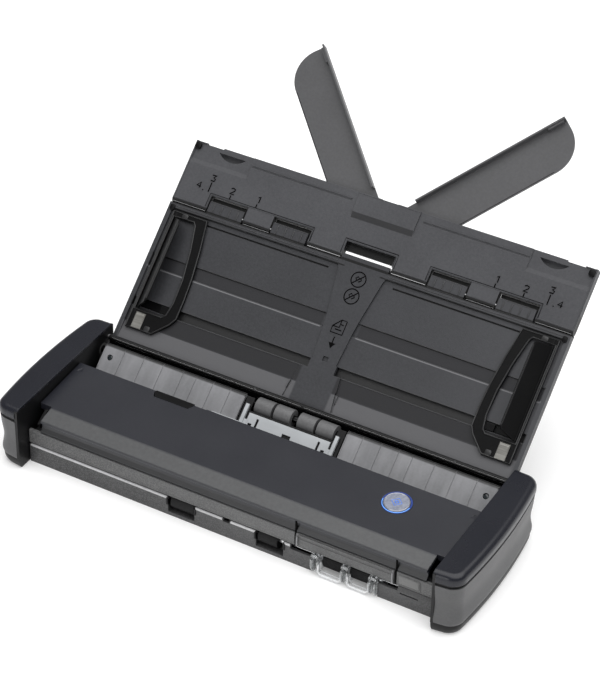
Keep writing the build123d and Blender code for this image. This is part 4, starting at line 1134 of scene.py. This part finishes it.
SENSOR_X, SENSOR_D, SENSOR_RADIUS = 116.3, 7.2, 1.45
GUIDE_ENDS = (31.8, 121.2)
GUIDE_RUN = (0.8, 14.0)
REAR_WALL = rect(-124.0, 124.0, 16.0, 31.0)
REAR_RIBS = range(-100, 101, 25)


def guide_details():
    """Sensor lenses and end beads of the feed guides, and the ribbed wall behind them."""
    lenses, ends = [], []
    for side, _ in SIDES:
        lens = circle(side * SENSOR_X, SENSOR_D, SENSOR_RADIUS, 20)
        lenses.append((lens, -1.4, -0.5, 0.2))
        ends += [(0.3, [(side * x, d, 0.1) for d in GUIDE_RUN]) for x in GUIDE_ENDS]
    glass, grey = SLOTS["sensor_glass"], SLOTS["guide_grey"]
    build("paper_sensors", "chassis", glass, on_guide, blocks=lenses)
    build("guide_ends", "chassis", grey, on_guide, ends)
    wall = [(REAR_WALL, 41.2, 41.75, 0.0)]
    wall += [(strip(x, 0.5, 17.0, 27.0), 41.6, 42.6, 0.0) for x in REAR_RIBS]
    build("rear_inner_wall", "chassis", INK, backward, blocks=wall)


# ---------------------------------------------------------- camera and studio


def camera():
    azimuth, elevation = math.radians(CAMERA_AZIMUTH), math.radians(CAMERA_ELEVATION)
    roll = math.radians(CAMERA_ROLL)
    level = math.cos(elevation)
    back = Vector((math.sin(azimuth) * level, -math.cos(azimuth) * level, math.sin(elevation)))
    right = Vector((0, 0, 1)).cross(back).normalized()
    up = back.cross(right)
    turned = right * math.cos(roll) + up * math.sin(roll)
    lifted = up * math.cos(roll) - right * math.sin(roll)
    data = bpy.data.cameras.new("camera")
    data.sensor_width = CAMERA_SENSOR
    data.lens = CAMERA_LENS
    data.clip_start = CAMERA_NEAR
    data.clip_end = CAMERA_FAR
    eye = bpy.data.objects.new("camera", data)
    rows = [(turned[k], lifted[k], back[k], CAMERA_PLACE[k]) for k in range(3)]
    eye.matrix_world = Matrix((*rows, (0, 0, 0, 1)))
    bpy.context.scene.collection.objects.link(eye)
    bpy.context.scene.camera = eye


def lamp(name, data, source):
    """Puts a light in the scene; source is the direction it shines from."""
    made = bpy.data.objects.new(name, data)
    made.rotation_mode = "QUATERNION"
    made.rotation_quaternion = source.to_track_quat("Z", "Y")
    bpy.context.scene.collection.objects.link(made)
    return made


def studio():
    """Plain pale floor under the part, white surroundings, a soft sun and a front fill."""
    bm = bmesh.new()
    bmesh.ops.create_grid(bm, x_segments=2, y_segments=2, size=FLOOR_HALF)
    mesh = bpy.data.meshes.new("floor")
    bm.to_mesh(mesh)
    bm.free()
    floor = bpy.data.objects.new("floor", mesh)
    floor.location = (0, 0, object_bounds()[0].z)
    bpy.context.scene.collection.objects.link(floor)
    s = Shader("floor_paper")
    paper = s.mix(s.span(s.noise(3, 3), 0, 1), (0.86, 0.86, 0.86), (0.9, 0.9, 0.9))
    s.drive(Base_Color=paper, Roughness=s.span(s.noise(40, 3), 0.7, 0.8))
    s.set(Specular_IOR_Level=0.1, Emission_Color=(1, 1, 1, 1), Emission_Strength=FLOOR_GLOW)
    mesh.materials.append(s.material)
    floor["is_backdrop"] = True
    sky = bpy.data.worlds.new("studio")
    sky.use_nodes = True
    background = sky.node_tree.nodes["Background"]
    background.inputs["Color"].default_value = (1, 1, 1, 1)
    background.inputs["Strength"].default_value = SKY
    bpy.context.scene.world = sky
    bpy.context.scene.view_settings.view_transform = "Standard"
    sun = bpy.data.lights.new("overhead", "SUN")
    sun.energy = OVERHEAD
    sun.angle = OVERHEAD_SPREAD
    lamp("overhead", sun, Vector(OVERHEAD_FROM).normalized())
    fill = bpy.data.lights.new("front_fill", "AREA")
    fill.energy = FILL
    fill.size = FILL_SIZE
    lamp("front_fill", fill, Vector(FILL_PLACE) - Vector(FILL_TARGET)).location = FILL_PLACE


tray_print()
size_marks()
tray_trim()
side_guides()
arm_trim()
button_trim()
card_side()
front_trim()
guide_details()
camera()
studio()
paint_frame()
